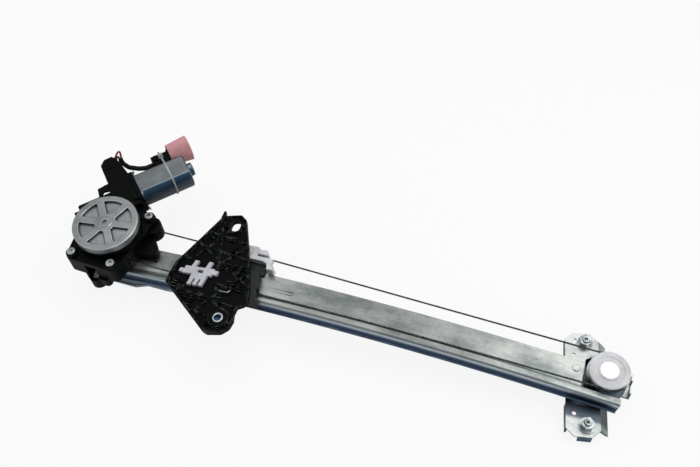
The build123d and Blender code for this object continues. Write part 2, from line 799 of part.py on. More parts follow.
# Three motor screws with a recess
with BuildPart() as motor_screws:
    spots = [polar(screw_r, a) for a in screw_angles]
    with BuildSketch(Plane.XY.offset(40)):
        with Locations(*spots):
            Circle(2.0)
    extrude(amount=ear_top_z - 40)
    with BuildSketch(Plane.XY.offset(ear_top_z)):
        with Locations(*spots):
            Circle(4.2)
    extrude(amount=2.4)
    fillet(edges().group_by(Axis.Z)[-1], 0.7)
    with BuildSketch(Plane.XY.offset(ear_top_z + 2.4)):
        with Locations(*spots):
            RegularPolygon(2.0, 6)
    extrude(amount=-1.8, mode=Mode.SUBTRACT)
save(motor_screws.part, "motor_screws")

# Bushing of the output shaft in the gear housing floor
with BuildPart() as output_bushing:
    with BuildSketch(Plane.XY.offset(floor_z - 0.4)):
        Circle(output_r + 1.55)
        Circle(output_r + running_gap, mode=Mode.SUBTRACT)
    extrude(amount=wheel_floor_z - floor_z + 0.3)
save(output_bushing.part, "output_bushing")

# Worm wheel: 61 teeth that follow the worm's lead, web floor, hub and three driving vanes
wheel_out_r = wheel_pitch_r + 0.7
wheel_root_r = wheel_pitch_r - 1.0
pitch_angle = 360 / wheel_teeth
tooth_half = (lead - backlash) / 4
lead_angle = atan2(lead, 2 * pi * worm_pitch_r)
tooth_twist = degrees(tan(lead_angle) * (wheel_top_z - worm_z) / wheel_pitch_r)
tooth_twist_low = degrees(tan(lead_angle) * (wheel_low_z - worm_z) / wheel_pitch_r)
hub_r = 8.0
damper_out_r = 22.2
vane_w = 3.0


def tooth_plane(z, twist):
    return Plane(origin=(0, 0, z), x_dir=polar(1, twist) + (0,), z_dir=(0, 0, 1))


with BuildPart() as tooth:
    foot = wheel_root_r - 0.25
    half_foot = tooth_half + (wheel_pitch_r - foot) * flank
    half_tip = tooth_half - (wheel_out_r - wheel_pitch_r) * flank
    for z, twist in ((wheel_low_z, tooth_twist_low), (wheel_top_z, tooth_twist)):
        with BuildSketch(tooth_plane(z, twist)):
            with BuildLine():
                Polyline(
                    (foot, -half_foot),
                    (wheel_out_r, -half_tip),
                    (wheel_out_r, half_tip),
                    (foot, half_foot),
                    close=True,
                )
            make_face()
    loft(ruled=True)

with BuildPart() as worm_wheel:
    with BuildSketch(Plane.XY.offset(wheel_low_z)):
        Circle(wheel_root_r)
    extrude(amount=wheel_top_z - wheel_low_z)
    with BuildSketch(Plane.XY.offset(wheel_low_z + 1.8)):
        Circle(damper_out_r + 0.3)
    extrude(amount=20, mode=Mode.SUBTRACT)
    with BuildSketch(Plane.XY.offset(wheel_low_z)):
        Circle(hub_r)
    extrude(amount=10.4)
    with BuildSketch(Plane.XY.offset(wheel_low_z + 1)):
        with PolarLocations((hub_r + damper_out_r) / 2, 3, start_angle=motor_angle):
            Rectangle(damper_out_r - hub_r + 1.5, vane_w)
    extrude(amount=wheel_top_z - wheel_low_z - 1)
    with BuildSketch(Plane.XY.offset(wheel_low_z)):
        Circle(output_r + running_gap)
    extrude(amount=20, mode=Mode.SUBTRACT)
    # a gap between teeth faces the worm at rest
    with PolarLocations(0, wheel_teeth, start_angle=motor_angle + 90 + pitch_angle / 2):
        add(tooth.part)
save(worm_wheel.part, "worm_wheel")

# Rubber damper between the wheel's vanes and the drive plate's legs
damper_low_z = wheel_low_z + 2.1
damper_top_z = wheel_top_z + 1.6
leg_w = 3.4
with BuildPart() as rubber_damper:
    with BuildSketch(Plane.XY.offset(damper_low_z)):
        Circle(damper_out_r)
        Circle(hub_r + 0.3, mode=Mode.SUBTRACT)
        with PolarLocations((hub_r + damper_out_r) / 2, 3, start_angle=motor_angle):
            Rectangle(damper_out_r, vane_w + 0.6, mode=Mode.SUBTRACT)
        with PolarLocations(14.8, 3, start_angle=motor_angle + 60):
            Rectangle(9.6, leg_w + 0.6, mode=Mode.SUBTRACT)
    extrude(amount=damper_top_z - damper_low_z)
save(rubber_damper.part, "rubber_damper")

# Drive plate with three legs and the output shaft
plate_low_z = wheel_low_z + 10.7
with BuildPart() as drive_plate:
    with BuildSketch(Plane.XY.offset(plate_low_z)):
        Circle(20.5)
    extrude(amount=2.0)
    with BuildSketch(Plane.XY.offset(damper_low_z + 1)):
        with PolarLocations(14.8, 3, start_angle=motor_angle + 60):
            Rectangle(9.0, leg_w)
    extrude(amount=plate_low_z - damper_low_z - 1)
    with BuildSketch(Plane.XY.offset(drum_top_z + 0.3)):
        Circle(output_r)
    extrude(amount=plate_low_z + 3.6 - drum_top_z)
    with BuildSketch(Plane.XY.offset(drum_low_z + 0.3)):
        Rectangle(output_square, output_square)
        Circle(output_r - 0.1, mode=Mode.INTERSECT)
    extrude(amount=drum_top_z - drum_low_z + 0.5)
    with BuildSketch(Plane.XY.offset(housing_low_z - 0.6)):
        Circle(3.0)
    extrude(amount=10)
    with BuildSketch(Plane.XY.offset(plate_low_z + 3)):
        Circle(2.0)
    extrude(amount=cover_top_z - plate_low_z - 3.4)
save(drive_plate.part, "drive_plate")

# Armature shaft with the worm and its single right-hand thread
worm_root_r = worm_pitch_r - 1.0
worm_out_r = worm_pitch_r + 0.8
thread_turns = 5
worm_half = 9.6
shaft_start_a = -16.5
shaft_end_a = can_end_a + 3.2
with BuildPart() as armature_shaft:
    with BuildSketch(motor_cross(shaft_start_a)):
        Circle(shaft_r)
    extrude(amount=shaft_end_a - shaft_start_a)
    chamfer(edges().filter_by(GeomType.CIRCLE), 0.5)
    with BuildSketch(motor_cross(-worm_half)):
        Circle(worm_root_r)
    extrude(amount=2 * worm_half)
    thread_start = motor_cross(-thread_turns * lead / 2)
    with BuildLine() as thread_path:
        helix = Helix(pitch=lead, height=thread_turns * lead, radius=worm_pitch_r, mode=Mode.PRIVATE)
        add(thread_start * helix)
    thread_line = thread_path.line
    with BuildSketch(Plane(origin=thread_line @ 0, x_dir=motor_v, z_dir=thread_line % 0)):
        with BuildLine():
            low = worm_pitch_r - worm_root_r + 0.1
            high = worm_out_r - worm_pitch_r
            Polyline(
                (-low, -tooth_half - low * flank),
                (high, -tooth_half + high * flank),
                (high, tooth_half - high * flank),
                (-low, tooth_half + low * flank),
                close=True,
            )
        make_face()
    sweep(path=thread_line, is_frenet=True)
save(armature_shaft.part, "armature_shaft")

# Lamination stack with ten slots
core_r = 10.0
core_start_a = 60.0
core_end_a = 86.0
with BuildPart() as lamination_stack:
    with BuildSketch(motor_cross(core_start_a)):
        Circle(core_r)
        Circle(shaft_r + 0.05, mode=Mode.SUBTRACT)
        with PolarLocations(7.2, 10):
            SlotOverall(4.4, 2.6, mode=Mode.SUBTRACT)
        with PolarLocations(core_r, 10):
            Rectangle(3.0, 1.0, mode=Mode.SUBTRACT)
    extrude(amount=core_end_a - core_start_a)
save(lamination_stack.part, "lamination_stack")

# Copper windings: end turns on both sides of the stack
with BuildPart() as armature_windings:
    for a in (core_start_a - 4.3, core_end_a + 0.3):
        with BuildSketch(motor_cross(a)):
            Circle(9.0)
            Circle(4.0, mode=Mode.SUBTRACT)
        extrude(amount=4.0)
    fillet(edges().filter_by(GeomType.CIRCLE).group_by(SortBy.RADIUS)[-1], 1.2)
save(armature_windings.part, "armature_windings")

# Commutator with ten bars
commutator_a = 47.6
with BuildPart() as commutator:
    with BuildSketch(motor_cross(commutator_a)):
        Circle(5.6)
        Circle(shaft_r + 0.05, mode=Mode.SUBTRACT)
        with PolarLocations(5.4, 10):
            Rectangle(1.2, 0.4, mode=Mode.SUBTRACT)
    extrude(amount=6.4)
save(commutator.part, "commutator")


def can_section(grow):
    """Round can section cut by two flats, grown outwards."""
    with BuildSketch() as section:
        Circle(can_r + grow)
        Rectangle(3 * can_r, 2 * (can_flat + grow), mode=Mode.INTERSECT)
        fillet(vertices(), 2.5 + grow / 2)
    return section.sketch


# Motor can: drawn steel with two flats, flange, end boss
boss_r = 7.0
boss_end_a = 102.5
with BuildPart() as motor_can:
    with BuildSketch(motor_cross(can_start_a - 1.0)):
        RectangleRounded(40, 26.4, 7)
    extrude(amount=1.4)
    with BuildSketch(motor_cross(can_start_a)):
        add(can_section(0))
    extrude(amount=can_end_a - can_start_a)
    fillet(edges().group_by(Axis(motor_point(0, 0, 0), motor_u))[-1], 1.5)
    with BuildSketch(motor_cross(can_end_a - 1)):
        Circle(boss_r)
    extrude(amount=boss_end_a - can_end_a + 1)
    fillet(edges().group_by(Axis(motor_point(0, 0, 0), motor_u))[-1], 1.4)
    with BuildSketch(motor_cross(can_start_a - 2)):
        add(can_section(-can_gauge))
    extrude(amount=can_end_a - can_gauge - can_start_a + 2, mode=Mode.SUBTRACT)
    with BuildSketch(motor_cross(can_end_a - 5)):
        Circle(boss_r - can_gauge)
    extrude(amount=boss_end_a - can_gauge - can_end_a + 5, mode=Mode.SUBTRACT)
save(motor_can.part, "motor_can")

# Two ferrite magnets inside the round sides
magnet_out_r = can_r - can_gauge - 0.05
magnet_in_r = core_r + 0.8
with BuildPart() as magnets:
    with BuildSketch(motor_cross(57.0)):
        Circle(magnet_out_r)
        Circle(magnet_in_r, mode=Mode.SUBTRACT)
        Rectangle(3 * can_r, 2 * 9.0, mode=Mode.INTERSECT)
    extrude(amount=34.0)
save(magnets.part, "magnets")

# Sintered end bearing held in the can's boss
with BuildPart() as end_bearing:
    with BuildSketch(motor_cross(can_end_a - 1.2)):
        Circle(boss_r - can_gauge - 0.05)
        Circle(shaft_r + running_gap, mode=Mode.SUBTRACT)
    extrude(amount=4.4)
save(end_bearing.part, "end_bearing")

# Worm bushings at both ends of the tunnel
with BuildPart() as worm_bushings:
    for a in (-14.3, 13.0):
        with BuildSketch(motor_cross(a)):
            Circle(tunnel_bore_r - 0.05)
            Circle(shaft_r + running_gap, mode=Mode.SUBTRACT)
        extrude(amount=3.8)
save(worm_bushings.part, "worm_bushings")

# Brush card between the housing flange and the armature
with BuildPart() as brush_card:
    with BuildSketch(motor_cross(can_start_a + 0.8)):
        add(can_section(-can_gauge - 0.3))
        Circle(7.0, mode=Mode.SUBTRACT)
    extrude(amount=1.6)
    for side in (-1, 1):
        with BuildSketch(motor_cross(can_start_a + 2.4)):
            with Locations((side * 10.6, 0)):
                Rectangle(7.4, 6.6)
                Rectangle(8.4, 4.2, mode=Mode.SUBTRACT)
        extrude(amount=5.2)
save(brush_card.part, "brush_card")

# Carbon brushes on the commutator and the springs behind them
brush_a = can_start_a + 2.9
with BuildPart() as carbon_brushes:
    for side in (-1, 1):
        with BuildSketch(motor_cross(brush_a)):
            with Locations((side * 8.0, 0)):
                Rectangle(4.4, 3.8)
        extrude(amount=4.2)
save(carbon_brushes.part, "carbon_brushes")

spring_r = 1.3
with BuildPart() as brush_springs:
    for side in (-1, 1):
        base = motor_cross(brush_a + 2.1)
        spring_plane = Plane(origin=base.from_local_coords(Vector(side * 10.5, 0, 0)), z_dir=motor_v * side)
        with BuildSketch(spring_plane):
            Circle(spring_r + 0.3)
            Circle(spring_r - 0.3, mode=Mode.SUBTRACT)
        extrude(amount=3.6)
save(brush_springs.part, "brush_springs")

# Two screws that hold the can on the gear housing flange
with BuildPart() as can_screws:
    for side in (-1, 1):
        with BuildSketch(motor_cross(can_start_a + 0.45)):
            with Locations((side * 18.1, side * 10.2)):
                Circle(1.7)
        extrude(amount=1.2)
save(can_screws.part, "can_screws")

# Motor plug in the socket, chamfered where the wires leave
plug_top_z = socket_top_z + 0.4
with BuildPart() as motor_plug:
    with BuildSketch(motor_plan(nose_low_z)):
        with Locations((28.2, 64.4)):
            Rectangle(15.6, 12.8)
    extrude(amount=nose_high)
    with BuildSketch(motor_plan(nose_low_z - 0.8)):
        with BuildLine():
            Polyline(
                (18.3, 69.4),
                (18.8, 78.5),
                (24.3, 84.5),
                (32.8, 84.9),
                (35.8, 79.9),
                (38.4, 72.0),
                (38.4, 69.4),
                close=True,
            )
        make_face()
    extrude(amount=plug_top_z - nose_low_z + 0.8)
    fillet(edges().group_by(Axis.Z)[-1], 0.8)
save(motor_plug.part, "motor_plug")

# Wires and sleeve of the pigtail, held by the plug and by the connector
wire_r = 1.0
sleeve_r = 2.5
sleeve_start = motor_point(40.2, 84.2, 56.5)
with BuildPart() as red_wire:
    with BuildLine() as red_route:
        FilletPolyline(
            motor_point(34.9, 82.75, 61.5),
            motor_point(43.0, 86.2, 69.0),
            motor_point(41.45, 84.2, 56.65),
            radius=1.8,
        )
    with BuildSketch(Plane(origin=red_route.line @ 0, z_dir=red_route.line % 0)):
        Circle(wire_r)
    sweep()
save(red_wire.part, "red_wire")

with BuildPart() as green_wire:
    with BuildLine() as green_route:
        FilletPolyline(
            motor_point(34.9, 82.75, 58.0),
            motor_point(39.6, 85.0, 62.4),
            motor_point(38.95, 84.2, 56.65),
            radius=1.2,
        )
    with BuildSketch(Plane(origin=green_route.line @ 0, z_dir=green_route.line % 0)):
        Circle(wire_r)
    sweep()
save(green_wire.part, "green_wire")

connector_p = 58.5
connector_z = 54.0
with BuildPart() as harness_sleeve:
    with BuildLine() as sleeve_route:
        FilletPolyline(
            sleeve_start,
            motor_point(40.2, 83.0, 50.6),
            motor_point(44.5, 71.5, 53.0),
            motor_point(53.0, 63.6, connector_z),
            motor_point(60.0, 60.5, connector_z),
            motor_point(67.9, 60.5, connector_z),
            radius=[3.5, 7.0, 7.0, 7.0],
        )
    with BuildSketch(Plane(origin=sleeve_route.line @ 0, z_dir=sleeve_route.line % 0)):
        Circle(sleeve_r)
    sweep()
save(harness_sleeve.part, "harness_sleeve")

# Pigtail connector beside the can, with a nose inside the cap
cap_p = 62.4
cap_z = 56.0
body_start_a = 68.0
body_end_a = 86.4
with BuildPart() as pigtail_connector:
    with BuildSketch(motor_cross(body_start_a)):
        with Locations((connector_p - centre_distance, connector_z - worm_z)):
            Rectangle(17.8, 11.6)
    extrude(amount=body_end_a - body_start_a)
    chamfer(edges().filter_by(Axis(motor_point(0, 0, 0), motor_u)), 1.0)
    with BuildSketch(motor_cross(body_start_a + 3)):
        with Locations((connector_p + 4 - centre_distance, connector_z + 6.2 - worm_z)):
            Rectangle(6.4, 1.8)
    extrude(amount=4.0)
    with BuildSketch(motor_cross(body_end_a - 1)):
        with Locations((cap_p - centre_distance, cap_z - worm_z)):
            Rectangle(11, 9)
    extrude(amount=17.0)
save(pigtail_connector.part, "pigtail_connector")

# Protective cap: tapered cup with an inner collar round the connector's nose
cap_start_a = 87.0
cap_end_a = 110.0
cap_near_r = 11.4
cap_far_r = 13.5
cap_wall = 1.3
cap_spot = (cap_p - centre_distance, cap_z - worm_z)
cap_taper = -degrees(atan2(cap_far_r - cap_near_r, cap_end_a - cap_start_a))
with BuildPart() as connector_cap:
    with BuildSketch(motor_cross(cap_start_a)):
        with Locations(cap_spot):
            Circle(cap_near_r)
    extrude(amount=cap_end_a - cap_start_a, taper=cap_taper)
    fillet(edges().group_by(Axis(motor_point(0, 0, 0), motor_u))[-1], 0.8)
    with BuildSketch(motor_cross(cap_start_a)):
        with Locations(cap_spot):
            Circle(cap_near_r - cap_wall)
    extrude(amount=cap_end_a - cap_start_a - cap_wall, taper=cap_taper, mode=Mode.SUBTRACT)
    with BuildSketch(motor_cross(cap_start_a + 2)):
        with Locations(cap_spot):
            Circle(9.6)
            Rectangle(11.4, 9.4, mode=Mode.SUBTRACT)
    extrude(amount=cap_end_a - cap_start_a - 2.5)
save(connector_cap.part, "connector_cap")

# Zip tie round the can and the connector
tie_a = 77.0
tie_w = 1.8
tie_t = 1.0
with BuildPart() as zip_tie:
    with BuildSketch(motor_cross(tie_a)):
        with BuildSketch(mode=Mode.PRIVATE) as bundle:
            add(can_section(0.25))
            with Locations((connector_p - centre_distance, connector_z - worm_z)):
                Rectangle(18.3, 12.1)
            make_hull()
        add(offset(bundle.sketch, amount=tie_t, kind=Kind.INTERSECTION, mode=Mode.PRIVATE))
        add(bundle.sketch, mode=Mode.SUBTRACT)
    extrude(amount=tie_w)
    head_at = motor_cross(tie_a + tie_w / 2).from_local_coords(Vector(24.2, 7.9, 0))
    with BuildSketch(Plane(origin=head_at, x_dir=motor_u, z_dir=motor_v * 0.38 + Vector(0, 0, 0.92))):
        Rectangle(4.6, 5.2)
    extrude(amount=3.6)
save(zip_tie.part, "zip_tie")

# Steel cables. The return run lies in the rail's groove between two straight tangents.


def touch_angle(x, z, radius, side):
    """Polar angle about the arc centre where the tangent from (x, z) touches."""
    dx = x - arc_apex_x
    dz = z - arc_centre_z
    return atan2(dx, dz) + side * acos(radius / hypot(dx, dz))


cable_arc = arc_radius + cable_h
touch_drum = touch_angle(0, low_groove_z, cable_arc, 1)
touch_pulley = touch_angle(axle_span, pulley_groove_z, cable_arc, -1)
peak = cable_arc / cos((touch_pulley - touch_drum) / 2)
peak_angle = (touch_pulley + touch_drum) / 2
peak_x = arc_apex_x + peak * sin(peak_angle)
peak_z = arc_centre_z + peak * cos(peak_angle)
fall = (pulley_groove_z - peak_z) / (axle_span - peak_x)
rise = (peak_z - low_groove_z) / peak_x
side_step = (drum_r - pulley_r) / axle_span
corner_x = axle_span + pulley_r
corner_z = pulley_groove_z + fall * pulley_r
run_end_x = axle_span - 6.0


def return_y(x):
    return -drum_r + side_step * x


with BuildPart() as return_cable:
    with BuildLine() as return_route:
        FilletPolyline(
            (run_start_x, return_y(run_start_x), low_groove_z + rise * run_start_x),
            (peak_x, return_y(peak_x), peak_z),
            (corner_x, -pulley_r, corner_z),
            (corner_x, pulley_r, corner_z),
            (run_end_x, pulley_r, pulley_groove_z - fall * 6.0),
            radius=[cable_arc, pulley_r - 0.02, pulley_r - 0.02],
        )
    with BuildSketch(Plane(origin=return_route.line @ 0, z_dir=return_route.line % 0)):
        Circle(cable_r)
    sweep()
save(return_cable.part, "return_cable")
return_length = sum(e.length for e in return_route.edges())

# Moving cable runs between the drum, the cable block and the pulley
chamber_in_s = -7.0  # the cable ends and their spring lie in a chamber under the plate
chamber_out_s = 23.0
cable_low_h = 6.4
run_y = 19.2
in_end = carrier_plane(cable_low_h).from_local_coords(Vector(chamber_in_s + 4, run_y, 0))
out_end = carrier_plane(cable_low_h).from_local_coords(Vector(chamber_out_s - 4, run_y, 0))
in_start = Vector(run_start_x, drum_r, low_groove_z + groove_pitch)
out_start = Vector(run_end_x - 0.4, pulley_r, pulley_groove_z - fall * 6.4)
with BuildPart() as left_cable_run:
    with BuildLine() as left_route:
        Line(in_start, in_end)
    with BuildSketch(Plane(origin=in_start, z_dir=in_end - in_start)):
        Circle(cable_r)
    sweep()
save(left_cable_run.part, "left_cable_run")

with BuildPart() as right_cable_run:
    with BuildLine() as right_route:
        Line(out_end, out_start)
    with BuildSketch(Plane(origin=out_end, z_dir=out_start - out_end)):
        Circle(cable_r)
    sweep()
save(right_cable_run.part, "right_cable_run")

# Carrier plate: kite outline, rim, ribs, window slot above and bush boss below
kite = [
    (-18.9, 50.3),
    (-13.8, 51.8),
    (-1.2, 55.4),
    (5.9, 50.8),
    (21.1, 19.5),
    (32.2, -6.3),
    (38.0, -21.6),
    (43.4, -37.2),
    (40.0, -41.2),
    (35.3, -44.5),
    (35.0, -51.1),
    (37.1, -58.1),
    (36.0, -66.6),
    (30.5, -73.0),
    (17.5, -76.4),
    (12.3, -74.5),
    (-43.9, -35.0),
    (-44.6, -25.8),
    (-43.3, -11.5),
    (-31.0, 19.2),
]
long_ribs = [
    ((-18, 48), (10, -40)),
    ((2, 50), (-38, -20)),
    ((18, 20), (-30, -40)),
    ((30, -8), (-6, -58)),
    ((-42, -24), (30, -52)),
    ((-30, 16), (34, -20)),
]
cross_ribs = 6
cross_low_y = -58.0
cross_pitch = 17.0
rim_w = 1.8
rib_w = 1.2
glass_slot = (-1.9, 41.4)
glass_bush_spot = (22.0, -59.0)
glass_bush_r = 4.9


def kite_face(inset):
    with BuildSketch() as face:
        with BuildLine():
            Polyline(*kite, close=True)
        make_face()
        fillet(vertices().sort_by(Axis.Y)[-3:], 2.5)
        fillet(vertices().sort_by(Axis.Y)[:4], 5.5)
        if inset:
            offset(amount=-inset, mode=Mode.REPLACE)
    return face.sketch


with BuildPart() as carrier_plate:
    with BuildSketch(carrier_plane(plate_h)):
        add(kite_face(0))
    extrude(amount=plate_t)
    with BuildSketch(carrier_plane(plate_h)):
        add(kite_face(0))
        add(kite_face(rim_w), mode=Mode.SUBTRACT)
    extrude(amount=rib_top_h - plate_h)
    # long ribs and short cross ribs inside the rim
    with BuildSketch(carrier_plane(plate_h)):
        for (s0, y0), (s1, y1) in long_ribs:
            with Locations(((s0 + s1) / 2, (y0 + y1) / 2)):
                Rectangle(hypot(s1 - s0, y1 - y0), rib_w, rotation=degrees(atan2(y1 - y0, s1 - s0)))
        for k in range(cross_ribs):
            with Locations((0, cross_low_y + k * cross_pitch)):
                Rectangle(100, rib_w, rotation=-6)
        add(kite_face(0.5), mode=Mode.INTERSECT)
    extrude(amount=rib_top_h - 1.0 - plate_h)
    # bosses of the slot and of the bush
    with BuildSketch(carrier_plane(plate_h)):
        with Locations(glass_slot):
            SlotOverall(16.5, 13.5, rotation=93)
        with Locations(glass_bush_spot):
            Circle(9.5)
    extrude(amount=rib_top_h - plate_h)
    # seat of the white clip and of the cable block
    with BuildSketch(carrier_plane(plate_h + plate_t)):
        with Locations((-17.5, -15.5)):
            Rectangle(46, 17, rotation=-6)
        with Locations((-13.5, -27)):
            Rectangle(22, 18, rotation=-6)
        with Locations((-17, -8)):
            Rectangle(28, 14, rotation=-6)
    extrude(amount=10, mode=Mode.SUBTRACT)
    with BuildSketch(carrier_plane(plate_h - 1)):
        with Locations(glass_slot):
            SlotOverall(12.5, 9.5, rotation=93)
        with Locations(glass_bush_spot):
            Circle(glass_bush_r + 0.05)
    extrude(amount=10, mode=Mode.SUBTRACT)
    # way for the left cable run under the plate
    with BuildSketch(carrier_plane(plate_h - 1)):
        with Locations((-20, 20.0)):
            Rectangle(76, 4.4)
    extrude(amount=1.9, mode=Mode.SUBTRACT)
    # fin at the upper corner
    with BuildSketch(carrier_plane(plate_h)):
        with BuildLine():
            Polyline((-20.6, 47.5), (-20.6, 56.0), (-18.9, 56.4), (-17.4, 50.0), (-17.4, 47.5), close=True)
        make_face()
    extrude(amount=rib_top_h - plate_h)
save(carrier_plate.part, "carrier_plate")

# White glass clip pressed on the plate
clip_h = plate_h + plate_t + 0.05
with BuildPart() as glass_clip:
    with BuildSketch(carrier_plane(clip_h)):
        with Locations((-17.0, -15.4)):
            Rectangle(33, 9.0, rotation=-6)
        with Locations((-24.0, -7.6), (-8.2, -9.0)):
            Rectangle(4.6, 10.5, rotation=-10)
        with Locations((1.6, -17.2)):
            Rectangle(6.0, 5.0, rotation=-6)
        with Locations((-36.2, -14.6)):
            Rectangle(3.4, 4.4, rotation=-6)
        with Locations((-34.6, -14.6)):
            Rectangle(3.4, 2.2, rotation=-6)
        with Locations((-14.0, -22.6)):
            Rectangle(17.4, 6.5, rotation=-6)
        with Locations((-20.8, -28.6), (-14.4, -29.2), (-8.0, -30.0)):
            Rectangle(4.0, 8.0, rotation=-6)
        with Locations((-14.6, -16.2)):
            Rectangle(6.4, 3.4, rotation=-6, mode=Mode.SUBTRACT)
    extrude(amount=3.2)
save(glass_clip.part, "glass_clip")

# Dark slider shoe that follows the rail, with a way for the return cable
shoe_top_r = arc_radius + slide_gap
shoe_low_y = -30.0
with BuildPart() as slider_shoe:
    with BuildSketch(carrier_plane(-8)):
        with Locations((7, (shoe_low_y - 0.8) / 2)):
            Rectangle(82, -0.8 - shoe_low_y)
    extrude(amount=plate_h + 8)
    # room for the rail: web, flange with its bead, and the return cable
    with BuildSketch(arc_plane(60)):
        with Locations((0, shoe_top_r - 20)):
            Rectangle(2 * (bead_r + slide_gap - flange_y), 40)
        with Locations((-18.6, shoe_top_r)):
            Rectangle(5.6, 18.6)
    revolve(axis=arc_axis, revolution_arc=arc_angle(190) - arc_angle(60), mode=Mode.SUBTRACT)
save(slider_shoe.part, "slider_shoe")

# Edge guide: hooks round the free edge of the web
guide_start_x = carrier_x - 30
guide_end_x = carrier_x + 41
with BuildPart() as edge_guide:
    with BuildSketch(arc_plane(guide_start_x)):
        with Locations((7.0, arc_radius - 0.6)):
            Rectangle(12.0, 7.0)
        with Locations((rail_top_y + slide_gap - 10, arc_radius - rail_gauge / 2)):
            Rectangle(20, rail_gauge + 2 * slide_gap, mode=Mode.SUBTRACT)
    revolve(axis=arc_axis, revolution_arc=arc_angle(guide_end_x) - arc_angle(guide_start_x))
    with BuildSketch(carrier_plane(2)):
        with Locations((-10, 10.0)):
            Rectangle(36, 5)
    extrude(amount=plate_h - 2)
save(edge_guide.part, "edge_guide")

# White cable block beside the edge guide: a closed chamber, then an open groove for the right run
end_r = 2.4
block_low_h = 3.2
block_top_h = 8.6
block_outline = [
    (chamber_in_s - 3, 13.4),
    (chamber_in_s - 3, 26.4),
    (26.9, 27.8),
    (30.5, 25.2),
    (37.3, 26.0),
    (39.5, 20.8),
    (46.2, 17.2),
    (45.4, 11.0),
    (49.6, 7.4),
    (49.6, 5.6),
    (43.2, 5.6),
    (41.6, 11.4),
    (37.0, 13.4),
]
with BuildPart() as cable_block:
    with BuildSketch(carrier_plane(block_low_h)):
        with BuildLine():
            Polyline(*block_outline, close=True)
        make_face()
    extrude(amount=block_top_h - block_low_h)
    with BuildSketch(carrier_plane(block_low_h)):
        with Locations(((chamber_in_s - 3 + chamber_out_s) / 2, 19.9)):
            Rectangle(chamber_out_s - chamber_in_s + 3, 13)
    extrude(amount=plate_h - block_low_h - 0.05)
    # skirt behind the rail's edge
    with BuildSketch(carrier_plane(-3)):
        with BuildLine():
            Polyline(
                (16, 13.6),
                (16, 27.2),
                (26.9, 27.8),
                (30.5, 25.2),
                (37.3, 26.0),
                (45, 13.6),
                close=True,
            )
        make_face()
        with Locations((46.4, 7.6)):
            Rectangle(6.2, 4.0)
        with Locations((44.4, 11.2)):
            Rectangle(2.4, 6.0)
    extrude(amount=block_low_h + 3)
    with BuildSketch(carrier_plane(cable_low_h - end_r - 0.4)):
        with Locations(((chamber_in_s + chamber_out_s) / 2, run_y)):
            Rectangle(chamber_out_s - chamber_in_s, 2 * end_r + 0.8)
    extrude(amount=2 * end_r + 0.8, mode=Mode.SUBTRACT)
    way_plane = Plane(origin=in_start, z_dir=in_end - in_start)
    with BuildSketch(way_plane):
        Circle(cable_r + 0.4)
    extrude(amount=(in_end - in_start).length, mode=Mode.SUBTRACT)
    with BuildSketch(Plane(origin=out_end, z_dir=out_start - out_end)):
        Circle(cable_r + 0.4)
    extrude(amount=60, mode=Mode.SUBTRACT)
    with BuildSketch(carrier_plane(cable_low_h - 1.6)):
        with Locations((29.0 + 15, run_y - 0.1)):
            Rectangle(30, 2 * cable_r + 1.0)
    extrude(amount=10, mode=Mode.SUBTRACT)
save(cable_block.part, "cable_block")

# Cable ends cast on the cables, and the tension spring between them
with BuildPart() as cable_ends:
    for point, toward in ((in_end, out_end), (out_end, in_end)):
        with BuildSketch(Plane(origin=point + (toward - point).normalized() * 0.3, z_dir=toward - point)):
            Circle(end_r)
        extrude(amount=4.0)
save(cable_ends.part, "cable_ends")

with BuildPart() as tension_spring:
    axis_dir = (out_end - in_end).normalized()
    with BuildSketch(Plane(origin=in_end + axis_dir * 4.8, z_dir=axis_dir)):
        Circle(end_r + 0.2)
        Circle(end_r - 0.6, mode=Mode.SUBTRACT)
    extrude(amount=(out_end - in_end).length - 9.6)
save(tension_spring.part, "tension_spring")

# Steel bush that takes the glass bolt
with BuildPart() as glass_bush:
    with BuildSketch(carrier_plane(plate_h - 1.0)):
        with Locations(glass_bush_spot):
            Circle(glass_bush_r)
            Circle(3.5, mode=Mode.SUBTRACT)
    extrude(amount=rib_top_h - plate_h + 1.2)
save(glass_bush.part, "glass_bush")
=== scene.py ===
import bpy
import bmesh
import json
from math import asin, cos, pi, radians, sin, sqrt
from mathutils import Matrix, Vector


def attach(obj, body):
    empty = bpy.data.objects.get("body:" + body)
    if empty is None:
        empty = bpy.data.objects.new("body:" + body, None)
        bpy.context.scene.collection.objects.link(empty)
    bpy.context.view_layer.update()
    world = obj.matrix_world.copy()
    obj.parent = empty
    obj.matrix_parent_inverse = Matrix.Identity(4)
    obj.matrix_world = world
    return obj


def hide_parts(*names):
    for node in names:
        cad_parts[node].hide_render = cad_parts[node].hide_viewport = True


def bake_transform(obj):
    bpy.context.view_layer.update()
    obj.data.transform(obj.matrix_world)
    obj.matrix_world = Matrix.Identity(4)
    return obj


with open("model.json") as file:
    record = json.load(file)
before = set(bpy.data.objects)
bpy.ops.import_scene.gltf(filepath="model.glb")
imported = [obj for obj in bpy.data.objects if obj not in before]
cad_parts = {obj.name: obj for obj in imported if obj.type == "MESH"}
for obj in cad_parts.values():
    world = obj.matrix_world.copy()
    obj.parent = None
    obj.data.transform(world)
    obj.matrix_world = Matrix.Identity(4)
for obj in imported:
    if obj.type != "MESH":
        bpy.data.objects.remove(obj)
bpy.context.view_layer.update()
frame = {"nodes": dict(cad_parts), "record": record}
nodes = frame["nodes"]
print("frame loaded:", len(nodes), "nodes")


# small helpers for node trees

def linear(hexCode):
    # sRGB hex to the linear colour that the shader wants
    channels = [int(hexCode[i:i + 2], 16) / 255 for i in (0, 2, 4)]
    return tuple(c / 12.92 if c <= 0.04045 else ((c + 0.055) / 1.055) ** 2.4
                 for c in channels) + (1.0,)


def grey(value):
    return (value, value, value, 1.0)


